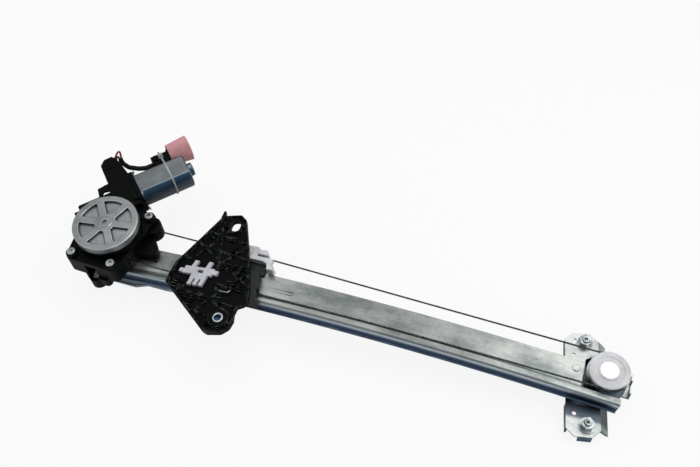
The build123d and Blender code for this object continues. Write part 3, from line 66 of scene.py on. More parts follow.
def plug(tree, node, inputs):
    # an input takes a plain value or another node's output
    for key, value in inputs.items():
        if isinstance(value, bpy.types.NodeSocket):
            tree.links.new(value, node.inputs[key])
        else:
            node.inputs[key].default_value = value


def addNode(tree, kind, inputs=None, **properties):
    made = tree.nodes.new(kind)
    for name, value in properties.items():
        setattr(made, name, value)
    plug(tree, made, inputs or {})
    return made


def startMaterial(name):
    material = bpy.data.materials.new(name)
    material.use_nodes = True
    tree = material.node_tree
    tree.nodes.clear()
    shader = addNode(tree, "ShaderNodeBsdfPrincipled")
    addNode(tree, "ShaderNodeOutputMaterial", {0: shader.outputs[0]})
    place = addNode(tree, "ShaderNodeTexCoord").outputs["Object"]
    return material, tree, shader, place


def maths(tree, operation, *terms):
    made = addNode(tree, "ShaderNodeMath", dict(enumerate(terms)), operation=operation)
    return made.outputs[0]


def vectors(tree, operation, *terms):
    made = addNode(tree, "ShaderNodeVectorMath", dict(enumerate(terms)), operation=operation)
    return made.outputs["Value" if operation in ("LENGTH", "DOT_PRODUCT") else "Vector"]


def axes(tree, source):
    return addNode(tree, "ShaderNodeSeparateXYZ", {0: source}).outputs


def noiseOf(tree, place, size, detail, roughness=0.5):
    # size of the features in millimetres
    return addNode(tree, "ShaderNodeTexNoise", {
        "Vector": place, "Scale": 1000.0 / size, "Detail": detail, "Roughness": roughness,
    }).outputs["Fac"]


def stretched(tree, place, share, turn=0.0):
    # texture space that is drawn out along the strip or along a turned axis
    return addNode(tree, "ShaderNodeMapping", {
        "Vector": place, "Rotation": (0.0, 0.0, turn), "Scale": (share, 1.0, 1.0),
    }).outputs[0]


def remap(tree, value, start, end, low=0.0, high=1.0, **properties):
    return addNode(tree, "ShaderNodeMapRange", {
        "Value": value, "From Min": start, "From Max": end, "To Min": low, "To Max": high,
    }, **properties).outputs[0]


def mixed(tree, share, under, over, **properties):
    # two colours, the second by its share
    return addNode(tree, "ShaderNodeMix", {0: share, 6: under, 7: over},
                   data_type="RGBA", **properties).outputs[2]


def ramp(tree, source, stops):
    # colour ramp from positions, each with a hex code, a grey or a linear colour
    made = addNode(tree, "ShaderNodeValToRGB", {"Fac": source})
    while len(made.color_ramp.elements) < len(stops):
        made.color_ramp.elements.new(0.5)
    for element, (position, tone) in zip(made.color_ramp.elements, stops):
        if isinstance(tone, str):
            tone = linear(tone)
        elif isinstance(tone, float):
            tone = grey(tone)
        element.position = position
        element.color = tone
    return made.outputs["Color"]


def bumpOf(tree, height, strength, distance, normal=None):
    inputs = {"Height": height, "Strength": strength, "Distance": distance}
    if normal is not None:
        inputs["Normal"] = normal
    return addNode(tree, "ShaderNodeBump", inputs).outputs[0]


def softEdge(tree, radius, start, end):
    # a rounded normal, and how much of an edge a point is
    rounded = addNode(tree, "ShaderNodeBevel", {"Radius": radius}, samples=4).outputs[0]
    flat = addNode(tree, "ShaderNodeNewGeometry").outputs["Normal"]
    return rounded, remap(tree, vectors(tree, "DOT_PRODUCT", rounded, flat), start, end)


# camera: the photograph's viewing angle, fitted to the rail, the cover, the pulley and the studs

view = {
    "azimuth": 22.62,
    "elevation": 55.43,
    "roll": -5.35,
    "distance": 0.8337,
    "target": (0.22813, 0.11207, 0.021),
    "lens": 43.04,
    "sensor": 36.0,
    "clipStart": 0.02,
}

cameraData = bpy.data.cameras.new("photoCamera")
cameraData.lens = view["lens"]
cameraData.sensor_width = view["sensor"]
cameraData.clip_start = view["clipStart"]
camera = bpy.data.objects.new("photoCamera", cameraData)
bpy.context.scene.collection.objects.link(camera)
azimuth, elevation = radians(view["azimuth"]), radians(view["elevation"])
back = Vector((sin(azimuth) * cos(elevation), -cos(azimuth) * cos(elevation), sin(elevation)))
level = (-back).to_track_quat("-Z", "Y").to_matrix()
turned = level @ Matrix.Rotation(radians(view["roll"]), 3, "Z")
stand = Vector(view["target"]) + back * view["distance"]
camera.matrix_world = Matrix.Translation(stand) @ turned.to_4x4()
bpy.context.scene.camera = camera
print("camera placed")


# floor, world and lamps

studio = {
    "floorZ": -0.0193,
    "floorMiddle": (0.25, 0.1),
    "floorSize": 6.0,
    "floorColour": "f2f2f2",
    "floorGlow": 0.88,       # share of plain white that the camera sees on it
    # the room is darker and cooler near the horizon, so bent sheet shows a gradient
    "sky": [(0.0, "56616c"), (0.22, "8b949c"), (0.75, "eef1f4")],
    "skyStrength": 0.45,
    "aim": (0.22, 0.05, 0.02),
    "lamps": [
        # name, place, size, watts, tint
        ("topSoftbox", (0.25, 0.35, 0.95), (1.3, 0.8), 4.6, "ffffff"),
        ("leftFill", (-0.75, -0.35, 0.55), (0.7, 0.6), 1.8, "f4f8ff"),
        ("rightStrip", (1.05, 0.15, 0.45), (0.35, 0.8), 2.0, "fffdf8"),
    ],
}


def makeWorld(scene):
    world = bpy.data.worlds.new("studioWorld")
    scene.world = world
    world.use_nodes = True
    tree = world.node_tree
    tree.nodes.clear()
    direction = addNode(tree, "ShaderNodeTexCoord").outputs["Generated"]
    sky = ramp(tree, axes(tree, direction)["Z"], studio["sky"])
    room = addNode(tree, "ShaderNodeBackground",
                   {"Color": sky, "Strength": studio["skyStrength"]})
    white = addNode(tree, "ShaderNodeBackground", {"Color": grey(1.0), "Strength": 1.0})
    path = addNode(tree, "ShaderNodeLightPath").outputs
    seen = addNode(tree, "ShaderNodeMixShader",
                   {0: path["Is Camera Ray"], 1: room.outputs[0], 2: white.outputs[0]})
    addNode(tree, "ShaderNodeOutputWorld", {0: seen.outputs[0]})


def makeFloor():
    bpy.ops.mesh.primitive_plane_add(size=studio["floorSize"],
                                     location=(*studio["floorMiddle"], studio["floorZ"]))
    floor = bpy.context.object
    floor.name = "studioFloor"
    # matt paper, nearly white to the camera, with the soft shadow kept
    material, tree, shader, _ = startMaterial("whitePaperSweep")
    plug(tree, shader, {
        "Base Color": linear(studio["floorColour"]),
        "Roughness": 0.9,
        "Specular IOR Level": 0.1,
    })
    path = addNode(tree, "ShaderNodeLightPath").outputs
    glow = addNode(tree, "ShaderNodeEmission", {"Color": grey(1.0), "Strength": 1.0})
    seen = maths(tree, "MAXIMUM", path["Is Camera Ray"], path["Is Transmission Ray"])
    share = maths(tree, "MULTIPLY", seen, studio["floorGlow"])
    paper = addNode(tree, "ShaderNodeMixShader",
                    {0: share, 1: shader.outputs[0], 2: glow.outputs[0]})
    plug(tree, tree.nodes["Material Output"], {0: paper.outputs[0]})
    floor.data.materials.append(material)


def makeStudio():
    scene = bpy.context.scene
    scene.view_settings.view_transform = "Standard"
    makeWorld(scene)
    makeFloor()
    for name, place, size, watts, tint in studio["lamps"]:
        data = bpy.data.lights.new(name, "AREA")
        data.shape = "RECTANGLE"
        data.size, data.size_y = size
        data.energy = watts
        data.color = linear(tint)[:3]
        lamp = bpy.data.objects.new(name, data)
        scene.collection.objects.link(lamp)
        lamp.location = place
        aim = Vector(studio["aim"]) - Vector(place)
        lamp.rotation_euler = aim.to_track_quat("-Z", "Y").to_euler()


makeStudio()
print("studio ready")


# materials, each named for the real one

zincSheet = {
    "colour": "a3a7a5",      # cold zinc grey, hardly tinted
    "worn": "7d8482",        # where shoes have rubbed and oil has dulled it
    "bright": "c6c9c4",
    "tones": (0.48, 0.62, 0.78),    # where worn, plain and bright lie in the clouds
    "cloudMm": 24.0,
    "cloudStretch": 0.45,
    "streakMm": 1.2,         # rolling lines along the strip
    "streakStretch": 0.05,
    "streakShare": 0.16,     # how much the lines change the clouds
    "spangleMm": 3.0,        # zinc crystals
    "spangleShare": 0.05,
    "roughness": 0.36,
    # painted light along the strip: darker in its middle, brightest at its right end
    "paintedLightAlong": [(0.0, 1.0), (0.28, 0.88), (0.44, 0.58), (0.66, 0.6), (0.84, 0.98), (1.0, 1.3)],
    "length": 0.5,
    # painted reflection down the folded flange: a painted highlight at the bend, a painted dark
    # bluish reflection, paler at the lower edge
    "paintedFoldReflection": [(0.0, "a9adab"), (0.16, "c6d0d6"), (0.27, "a9bac9"), (0.42, "3d526b"),
             (0.6, "243650"), (0.8, "4a6078"), (1.0, "939ea6")],
    "foldMm": 15.5,
    "foldStart": 0.0141,     # where the bend leaves the web
    "foldWidth": 0.0026,
    "grooveY": 0.0206,       # middle of the cable groove
    "grooveHalf": 0.0031,
    "arc": ((0.25, 0.0375, -2.0115), 2.037),    # centre and radius of the web
    "shade": 0.0,            # share of the three colours below
    "side": "6b7270",        # painted shade on upright faces, duller than the flats
    "paintedBlueReflection": "3d5a78",        # painted reflection on upright faces towards the lower edge, bluish like the flange
    "paintedShadowBand": "26364b",      # painted shadow: a dark band beside the flange
    "paintedShadowBandY": 0.013,
    "paintedShadowBandHalf": (0.0185, 0.0135),     # from where it shows to where it is full
}
bracketSheet = dict(
    zincSheet, colour="b9bcb9", worn="979d9a", bright="d2d4d0",
    spangleMm=2.0, streakMm=0.8, foldStart=-1.0, grooveY=-1.0, shade=0.85,
)


def shadeUpright(tree, colour, facing, across, settings):
    # painted light on bent sheet: painted shade where it stands up, a painted bluish reflection
    # where it faces the lower edge, a painted shadow band beside the flange
    turned = axes(tree, facing)
    share = settings["shade"]
    sideShadeShare = remap(tree, maths(tree, "ABSOLUTE", turned["Z"]), 0.8, 0.4, high=share)
    blueReflectionShare = remap(tree, turned["Y"], -0.25, -0.75, high=share)
    offset = maths(tree, "ABSOLUTE", maths(tree, "SUBTRACT", across, settings["paintedShadowBandY"]))
    shadowBandShare = remap(tree, offset, *settings["paintedShadowBandHalf"], high=share,
                   interpolation_type="SMOOTHSTEP")
    for part, key in ((shadowBandShare, "paintedShadowBand"), (sideShadeShare, "side"), (blueReflectionShare, "paintedBlueReflection")):
        colour = mixed(tree, part, colour, linear(settings[key]))
    return colour


def zincPlatedSheet(name, settings):
    # galvanised steel: cloudy zinc with faint lines along the strip, painted light along it, a
    # painted bluish reflection down the folds
    material, tree, shader, place = startMaterial(name)
    alongStrip = stretched(tree, place, settings["streakStretch"])
    lines = noiseOf(tree, alongStrip, settings["streakMm"], 3.0)
    crystals = addNode(tree, "ShaderNodeTexVoronoi",
                       {"Vector": place, "Scale": 1000.0 / settings["spangleMm"]})
    shine = axes(tree, crystals.outputs["Color"])["X"]
    drawnOut = stretched(tree, place, settings["cloudStretch"])
    clouds = noiseOf(tree, drawnOut, settings["cloudMm"], 5.0, 0.55)
    blend = maths(tree, "MULTIPLY_ADD", lines, settings["streakShare"], clouds)
    blend = maths(tree, "MULTIPLY_ADD", shine, settings["spangleShare"], blend)
    tones = zip(settings["tones"], ("worn", "colour", "bright"))
    flat = ramp(tree, blend, [(at, settings[key]) for at, key in tones])
    spot = axes(tree, place)
    paintedLightAlong = ramp(tree, remap(tree, spot["X"], 0.0, settings["length"]), settings["paintedLightAlong"])
    # painted light: the brightness along the strip multiplies the zinc tones
    flat = mixed(tree, 1.0, flat, paintedLightAlong, blend_type="MULTIPLY")
    # how far down the flange a point lies, measured from the arc of the web
    centre, radius = settings["arc"]
    reach = vectors(tree, "SUBTRACT", place, centre)
    reach = vectors(tree, "LENGTH", vectors(tree, "MULTIPLY", reach, (1.0, 0.0, 1.0)))
    down = remap(tree, reach, radius, radius - settings["foldMm"] / 1000)
    # painted reflection and highlight on the flange, by how far down it a point lies
    paintedFoldReflection = ramp(tree, down, settings["paintedFoldReflection"])
    bend = settings["foldStart"]
    low = remap(tree, spot["Y"], bend, bend - settings["foldWidth"],
                interpolation_type="SMOOTHSTEP")
    colour = mixed(tree, low, flat, paintedFoldReflection)
    facing = addNode(tree, "ShaderNodeNewGeometry").outputs["Normal"]
    if settings["shade"]:
        colour = shadeUpright(tree, colour, facing, spot["Y"], settings)
    # the cable groove is soft and shallow, so its walls take the light of the web
    inGroove = maths(tree, "COMPARE", spot["Y"], settings["grooveY"], settings["grooveHalf"])
    softened = addNode(tree, "ShaderNodeMix", {0: inGroove, 4: facing, 5: (0.0, -0.05, 1.0)},
                       data_type="VECTOR").outputs[1]
    rough = settings["roughness"]
    plug(tree, shader, {
        "Base Color": colour,
        "Metallic": 1.0,
        "Roughness": remap(tree, clouds, 0.3, 0.7, rough - 0.06, rough + 0.1),
        "Normal": bumpOf(tree, lines, 0.08, 0.0002, softened),
    })
    return material


plainMetals = {
    # record slot: name, colour, duller patches, grain in mm, roughness
    "bolt_steel": ("brightZincBolt", "c6caca", "82888a", 0.5, 0.3),     # bright and clean
    "shaft_steel": ("groundSteel", "a5a7a8", "7f8284", 0.4, 0.25),      # smooth, sharp glints
    "spring_steel": ("springSteel", "7e8184", "55585a", 0.3, 0.35),     # darker and oily
    "laminations": ("siliconSteel", "5d6063", "3f4245", 0.5, 0.45),     # dull and dark
    "bronze": ("sinteredBronze", "a9854e", "7d5f35", 0.35, 0.5),        # warm and matt
    "copper": ("enamelledCopper", "b5623a", "7c3c20", 0.6, 0.3),        # reddish gloss
}


def turnedMetal(name, colour, dark, grainMm, roughness):
    # plain metal parts: a fine grain and some duller patches
    material, tree, shader, place = startMaterial(name)
    grain = noiseOf(tree, place, grainMm, 3.0)
    patches = noiseOf(tree, place, 6.0, 2.0)
    plug(tree, shader, {
        "Base Color": ramp(tree, patches, [(0.35, dark), (0.6, colour)]),
        "Metallic": 1.0,
        "Roughness": remap(tree, grain, 0.0, 1.0, roughness - 0.06, roughness + 0.1),
        "Normal": bumpOf(tree, grain, 0.1, 0.0001),
    })
    return material


pressedAluminium = {
    "colour": "adafaf",      # soft silver, matt from the press
    "dull": "959898",
    "patchMm": 14.0,
    "bright": "f0f3f5",      # painted highlight on the edges of the spokes
    "edgeMm": 1.0,
    "wall": "4d5558",        # painted shade on the walls and in the corners of the pockets
    "paintedShadeMm": 3.5,
    "grainMm": 0.45,         # tumbled surface
    "roughness": 0.42,
    "top": 0.0532,           # height of the spokes
    "topHalf": 0.0007,
}


def pressedCover(name, settings):
    # pressed and tumbled aluminium: even silver, a painted highlight on the edges of the pockets,
    # painted shade in them
    material, tree, shader, place = startMaterial(name)
    grain = noiseOf(tree, place, settings["grainMm"], 2.0)
    patches = noiseOf(tree, place, settings["patchMm"], 4.0)
    base = ramp(tree, patches, [(0.35, settings["dull"]), (0.65, settings["colour"])])
    rounded, edge = softEdge(tree, settings["edgeMm"] / 1000, 0.999, 0.96)
    # painted shade: occlusion darkens the corners and walls of the pockets
    corners = addNode(tree, "ShaderNodeAmbientOcclusion",
                      {"Distance": settings["paintedShadeMm"] / 1000}, samples=8).outputs["AO"]
    pocketShadeShare = remap(tree, corners, 0.93, 0.55)
    colour = mixed(tree, pocketShadeShare, base, linear(settings["wall"]))
    height = axes(tree, place)["Z"]
    crest = maths(tree, "COMPARE", height, settings["top"], settings["topHalf"])
    paintedEdgeHighlight = maths(tree, "MULTIPLY", edge, crest)
    plug(tree, shader, {
        "Base Color": mixed(tree, paintedEdgeHighlight, colour, linear(settings["bright"])),
        "Metallic": 1.0,
        "Roughness": settings["roughness"],
        "Normal": bumpOf(tree, grain, 0.15, 0.0001, rounded),
    })
    return material


drawnCan = {
    "colour": "787d80",      # grey zinc on the flats
    "scuff": "8f9395",
    "cloudMm": 18.0,
    "paintedRoundReflection": "4d6880",       # painted bluish reflection on the round sides
    "round": (0.551, -0.532, 0.643),    # the way that the front one faces
    "low": "565c60",         # painted shade on the flank below the round side
    "lineMm": 0.9,           # drawing lines
    "lineStretch": 0.05,
    "angle": 46.0,           # of its length, in the plan
    "roughness": 0.38,
}


def drawnSteelCan(name, settings):
    # deep-drawn motor can: grey flats, a painted bluish reflection on the round sides, painted
    # shade on the lower flank, drawing lines along its length
    material, tree, shader, place = startMaterial(name)
    lengthwise = stretched(tree, place, settings["lineStretch"], radians(-settings["angle"]))
    lines = noiseOf(tree, lengthwise, settings["lineMm"], 3.0)
    clouds = noiseOf(tree, place, settings["cloudMm"], 3.0)
    flat = ramp(tree, clouds, [(0.4, settings["colour"]), (0.75, settings["scuff"])])
    facing = addNode(tree, "ShaderNodeNewGeometry").outputs["Normal"]
    side = vectors(tree, "DOT_PRODUCT", facing, settings["round"])
    paintedRoundReflection = remap(tree, side, 0.8, 0.95, interpolation_type="SMOOTHSTEP")
    # painted shade on faces that turn downwards
    below = remap(tree, axes(tree, facing)["Z"], 0.4, 0.1)
    flat = mixed(tree, below, flat, linear(settings["low"]))
    plug(tree, shader, {
        "Base Color": mixed(tree, paintedRoundReflection, flat, linear(settings["paintedRoundReflection"])),
        "Metallic": 1.0,
        "Roughness": settings["roughness"],
        "Normal": bumpOf(tree, lines, 0.1, 0.0002),
    })
    return material


# what all moulded parts share
batch = {
    "shadeMm": 25.0,         # slow changes of shade
    "darker": 0.8,
    "lighter": 1.18,
    "breakMm": 5.0,          # breaks in the lighter edges: wear and painted highlight
    "soakDepth": 0.002,
}
# painted light: the pulley's bore is painted near white and given a glow
paintedBoreGlow = {"axis": (0.494, 0.0375, 0.0), "radius": 0.0079, "colour": "fbfbfb", "glow": 0.45}
mouldings = {
    # record slot: name, colour, lighter edge (partly wear, partly painted highlight), grain in mm,
    # roughness, light that soaks in, shine, then the width of that edge in mm and a bore with
    # painted glow, where they differ
    "black_plastic": ("glassFilledPbt", "040505", "3a4042", 0.7, 0.42, 0.0, 0.09),  # deep black
    # black, with painted highlights on the rib edges
    "carrier_plastic": ("carrierPolyamide", "030404", "8b9290", 0.9, 0.36, 0.0, 0.06, 0.75),
    "dark_plastic": ("greyAcetal", "222524", "3c403f", 0.8, 0.5, 0.0, 0.3),         # waxy charcoal
    "white_plastic": ("whiteAcetal", "c4c3c9", "dddce2", 0.8, 0.4, 0.1, 0.4),       # cold white
    # milky, with a bore painted bright and glowing
    "pulley_plastic": ("milkyNylon", "e0e0e2", "f2f2f3", 0.8, 0.42, 0.2, 0.4, 0.4, paintedBoreGlow),
    "wheel_plastic": ("creamAcetal", "cdc7b6", "dcd8c8", 0.8, 0.45, 0.15, 0.4),     # warm cream
    "drum_plastic": ("drumNylon", "cdc7b6", "dcd8c8", 0.8, 0.45, 0.15, 0.4),
    "card": ("brushCardPaper", "8e6f42", "a58657", 0.6, 0.6, 0.0, 0.3),             # brown and dry
    "damper_rubber": ("softRubber", "1c1c1d", "2c2c2d", 0.5, 0.7, 0.0, 0.2),        # dull black
    "magnet": ("groundFerrite", "2e2f31", "47484a", 0.5, 0.55, 0.0, 0.4),           # stony grey
    "carbon": ("pressedCarbon", "1d1d1e", "333334", 0.3, 0.4, 0.0, 0.4),            # soft sheen
    "sleeve": ("clothTape", "090a0b", "1e2022", 0.6, 0.6, 0.0, 0.25),               # woven black
    "wire_red": ("redInsulation", "a01c18", "bf332d", 0.5, 0.35, 0.05, 0.5),        # glossy
    "wire_green": ("greenInsulation", "12603a", "257d4e", 0.5, 0.35, 0.05, 0.5),
    "tie_nylon": ("naturalNylon", "a9acad", "c9cbcb", 0.5, 0.35, 0.15, 0.4),        # cloudy grey
    "cap_pink": ("pinkVinyl", "d99da0", "e6b4b6", 0.9, 0.5, 0.15, 0.25),            # soft pale pink
}


def paintBoreGlow(tree, shader, place, body, bore):
    # painted light: the bore is painted paler than the faces and glows, though nothing lights it
    # from inside
    away = vectors(tree, "SUBTRACT", place, bore["axis"])
    away = vectors(tree, "LENGTH", vectors(tree, "MULTIPLY", away, (1.0, 1.0, 0.0)))
    inside = remap(tree, away, bore["radius"] + 0.0003, bore["radius"] - 0.0003)
    plug(tree, shader, {
        "Emission Color": linear(bore["colour"]),
        "Emission Strength": maths(tree, "MULTIPLY", inside, bore["glow"]),
    })
    return mixed(tree, inside, body, linear(bore["colour"]))


def moulded(name, colour, worn, grainMm, roughness, soak, shine, edgeMm=0.4, bore=None):
    # injection-moulded part: spark-eroded grain, lighter edges that are partly wear and partly
    # painted highlight, slight random changes of tone
    material, tree, shader, place = startMaterial(name)
    grain = noiseOf(tree, place, grainMm, 2.0, 0.6)
    shades = noiseOf(tree, place, batch["shadeMm"], 4.0)
    base = linear(colour)
    darker = tuple(c * batch["darker"] for c in base[:3]) + (1.0,)
    lighter = tuple(min(1.0, c * batch["lighter"]) for c in base[:3]) + (1.0,)
    body = ramp(tree, shades, [(0.35, darker), (0.5, base), (0.68, lighter)])
    if bore:
        body = paintBoreGlow(tree, shader, place, body, bore)
    rounded, edge = softEdge(tree, edgeMm / 1000, 0.99, 0.86)
    # the lighter edge, partly wear and partly painted highlight, comes and goes along an edge
    breaks = remap(tree, noiseOf(tree, place, batch["breakMm"], 1.0), 0.46, 0.62, low=0.08)
    plug(tree, shader, {
        "Base Color": mixed(tree, maths(tree, "MULTIPLY", edge, breaks), body, linear(worn)),
        "Roughness": remap(tree, shades, 0.0, 1.0, roughness - 0.07, roughness + 0.09),
        "Specular IOR Level": shine,
        "Subsurface Weight": soak,
        "Subsurface Radius": (1.0, 0.95, 0.95),
        "Subsurface Scale": batch["soakDepth"],
        "Normal": bumpOf(tree, grain, 0.25, 0.0001, rounded),
    })
    return material


greasedRope = {"colour": "6a6d6b", "dark": "2a2c2b", "smearMm": 2.5, "roughness": 0.42}


def greasedCable(name, settings):
    # greased steel strand: dark in the lays, a grey glint on the crowns
    material, tree, shader, place = startMaterial(name)
    smear = noiseOf(tree, place, settings["smearMm"], 3.0)
    plug(tree, shader, {
        "Base Color": ramp(tree, smear, [(0.35, settings["dark"]), (0.7, settings["colour"])]),
        "Metallic": 0.8,
        "Roughness": settings["roughness"],
        "Coat Weight": 0.2,
        "Normal": bumpOf(tree, smear, 0.2, 0.0002),
    })
    return material


finishes = {
    "galvanised": zincPlatedSheet("galvanisedStrip", zincSheet),
    "bracket_steel": zincPlatedSheet("galvanisedBracket", bracketSheet),
    "cover_aluminium": pressedCover("tumbledAluminium", pressedAluminium),
    "can_steel": drawnSteelCan("drawnCanPaintedReflection", drawnCan),
    "cable_steel": greasedCable("greasedStrand", greasedRope),
}
for slot, row in plainMetals.items():
    finishes[slot] = turnedMetal(*row)
for slot, row in mouldings.items():
    finishes[slot] = moulded(*row)

slotOf = {entry["node"]: entry["material_slot"] for entry in frame["record"]["subparts"]}
for name, piece in nodes.items():
    piece.data.materials.clear()
    piece.data.materials.append(finishes[slotOf[name]])
# the bracket's rivet head was plated with the rail and hardly stands out
nodes["bracket_rivet"].data.materials[0] = finishes["galvanised"]
print("materials on", len(nodes), "nodes")


# small helpers for meshes

def anglesRound(count):
    return [2 * pi * k / count for k in range(count)]


def skin(mesh, loops):
    # bands of faces from loop to loop
    for first, second in zip(loops, loops[1:]):
        for k in range(len(first)):
            n = (k + 1) % len(first)
            mesh.faces.new((first[k], first[n], second[n], second[k]))


def closedSkin(mesh, loops):
    skin(mesh, loops)
    mesh.faces.new(list(reversed(loops[0])))
    mesh.faces.new(loops[-1])


def addPiece(name, mesh, slot, body=None, replaced=None, smooth=False, finish=None):
    # a finished mesh becomes a piece, on its body if it has only one
    data = bpy.data.meshes.new(name)
    bmesh.ops.recalc_face_normals(mesh, faces=mesh.faces)
    mesh.to_mesh(data)
    mesh.free()
    for face in data.polygons:
        face.use_smooth = smooth
    piece = bpy.data.objects.new(name, data)
    bpy.context.scene.collection.objects.link(piece)
    data.materials.append(finish or finishes[slot])
    if replaced:
        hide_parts(replaced)
    if body:
        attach(piece, body)
    return piece


# pressed blanks: they close the web at two small holes of the CAD that the photo doesn't show

blanks = {
    "spots": [(0.302, 0.0329), (0.432, 0.0325)],
    "radius": 0.00204,
    "shadePlugSpot": (0.0515, 0.0292),
    "shadePlugRadius": 0.00164,
    "profile": ((1.0, 0.0), (0.9, 0.5), (0.6, 0.9), (0.25, 1.0)),   # shares of radius and dish
    "dish": 0.00012,
    "below": 0.00006,        # under the face of the web
    "around": 32,
}


def pressBlanks(name, spots, size, slot):
    centre, radius = zincSheet["arc"]
    mesh = bmesh.new()
    for x, y in spots:
        rings = []
        for share, drop in blanks["profile"]:
            ring = []
            for angle in anglesRound(blanks["around"]):
                px = x + size * share * cos(angle)
                top = centre[2] + sqrt(radius**2 - (px - centre[0]) ** 2) - blanks["below"]
                spot = (px, y + size * share * sin(angle), top - drop * blanks["dish"])
                ring.append(mesh.verts.new(spot))
            rings.append(ring)
        skin(mesh, rings)
        mesh.faces.new(rings[-1])
    addPiece(name, mesh, slot, "frame", smooth=True)


pressBlanks("web_blanks", blanks["spots"], blanks["radius"], "galvanised")
# a black disc in a third hole: painted shade where the hole looks dark
pressBlanks("painted_shade_plug", [blanks["shadePlugSpot"]], blanks["shadePlugRadius"], "black_plastic")
print("blanks pressed")


# the carrier's own frame: s along the rail, y across it, h above the web, in millimetres

carrierX = 0.124             # where the carrier stands at rest


def carrierSpot(s, y, h):
    centre, radius = zincSheet["arc"]
    slope = asin((carrierX - centre[0]) / radius)
    origin = Vector((carrierX, centre[1], centre[2] + radius * cos(slope)))
    along, up = Vector((cos(slope), 0, -sin(slope))), Vector((sin(slope), 0, cos(slope)))
    return origin + (along * s + Vector((0, 1, 0)) * y + up * h) / 1000


alongRail = (carrierSpot(1, 0, 0) - carrierSpot(0, 0, 0)).normalized()


# short fins between the carrier's ribs, in groups where the photo has them

fins = {
    # middle s, middle y, count, pitch, length, angle in degrees
    "groups": [
        (-11.0, 38.8, 1, 0.0, 4.5, 10), (-21.0, 25.2, 2, 3.0, 5.5, 6),
        (1.0, 26.4, 2, 3.2, 6.5, 4), (13.4, 26.6, 2, 3.0, 5.0, 4),
        (8.0, 15.8, 3, 2.6, 6.5, 4), (2.5, 12.2, 1, 0.0, 5.0, -50),
        (8.2, -4.8, 3, 2.8, 7.0, 6), (14.8, -4.6, 1, 0.0, 8.0, 70),
        (24.6, -3.0, 2, 2.8, 8.0, 4), (22.0, -9.4, 1, 0.0, 7.0, 80),
        (19.0, -21.2, 2, 2.8, 10.0, 6), (29.0, -23.2, 4, 2.7, 7.5, 4),
        (14.6, -41.4, 3, 2.6, 8.0, 6), (-36.0, -30.4, 4, 2.6, 6.5, 2),
        (-29.0, -36.6, 2, 2.6, 5.0, 2), (-21.4, -44.6, 2, 2.6, 6.0, 4),
        (-11.0, -44.6, 2, 2.6, 5.5, 4), (-2.2, -42.8, 2, 2.6, 5.5, 4),
        (-12.4, -52.2, 3, 2.6, 6.5, 4), (14.0, -66.0, 2, 2.8, 6.0, 8),
    ],
    "levels": ((12.3, 0.0), (14.9, 0.4), (15.2, 0.65)),     # height, and draft up to there
    "width": 1.3,
    "shorter": 0.12,         # by how much each fin of a group is shorter than the last
}


def growFins():
    # drafted bars: wide at the floor of the plate, narrow and shorter at the crest
    mesh = bmesh.new()
    for s, y, count, pitch, length, angle in fins["groups"]:
        turn = radians(angle)
        for k in range(count):
            step = (k - (count - 1) / 2) * pitch
            midS, midY = s - step * sin(turn), y + step * cos(turn)
            loops = []
            for height, inset in fins["levels"]:
                halfLong = length * (1.0 - fins["shorter"] * k) / 2 - inset
                halfWide = (fins["width"] - inset) / 2
                loop = []
                for u, v in ((-1, -1), (1, -1), (1, 1), (-1, 1)):
                    du, dv = u * halfLong, v * halfWide
                    atS = midS + du * cos(turn) - dv * sin(turn)
                    atY = midY + du * sin(turn) + dv * cos(turn)
                    loop.append(mesh.verts.new(carrierSpot(atS, atY, height)))
                loops.append(loop)
            closedSkin(mesh, loops)
    addPiece("carrier_fins", mesh, "carrier_plastic", "carrier")


growFins()
print("fins grown")


# the carrier's steel insert looks blind: a bluish floor closes it, a bright wire end lies above

insert = {
    "spot": (22.0, -59.0),
    "middle": 10.8,          # height of the dished floor
    "rings": ((2.0, 10.9), (3.0, 11.2), (3.9, 12.0)),   # radius and height further out
    "around": 32,
    # bluish dark steel, darker in patches
    "finish": ("bluishDarkSteel", "344a70", "1f3052", 0.5, 0.3),
}


def closeInsert():
    mesh = bmesh.new()
    s, y = insert["spot"]
    middle = mesh.verts.new(carrierSpot(s, y, insert["middle"]))
    rings = []
    for radius, height in insert["rings"]:
        ring = []
        for angle in anglesRound(insert["around"]):
            spot = carrierSpot(s + radius * cos(angle), y + radius * sin(angle), height)
            ring.append(mesh.verts.new(spot))
        rings.append(ring)
    for k in range(insert["around"]):
        mesh.faces.new((middle, rings[0][k], rings[0][(k + 1) % insert["around"]]))
    skin(mesh, rings[::-1])
    addPiece("insert_floor", mesh, "bolt_steel", "carrier", smooth=True,
             finish=turnedMetal(*insert["finish"]))


tail = {
    "points": [(9.8, -31.2), (14.5, -32.2), (20.6, -31.6), (22.0, -28.2)],
    "height": 15.3,
    "radius": 0.75,
    "around": 12,
}


def bendTail():
    # round wire with two bends
    mesh = bmesh.new()
    points = [carrierSpot(s, y, tail["height"]) for s, y in tail["points"]]
    rings = []
    for index, point in enumerate(points):
        ahead, behind = points[min(index + 1, len(points) - 1)], points[max(index - 1, 0)]
        along = (ahead - behind).normalized()
        side = along.cross(Vector((0, 0, 1))).normalized()
        up = side.cross(along)
        ring = []
        for angle in anglesRound(tail["around"]):
            out = side * cos(angle) + up * sin(angle)
            ring.append(mesh.verts.new(point + out * tail["radius"] / 1000))
        rings.append(ring)
    closedSkin(mesh, rings)
    addPiece("spring_tail", mesh, "bolt_steel", "carrier", smooth=True)


closeInsert()
bendTail()
print("insert closed")


# two solids are fitted towards the photo: the clip is sheared nearly level, the shoe ends sooner

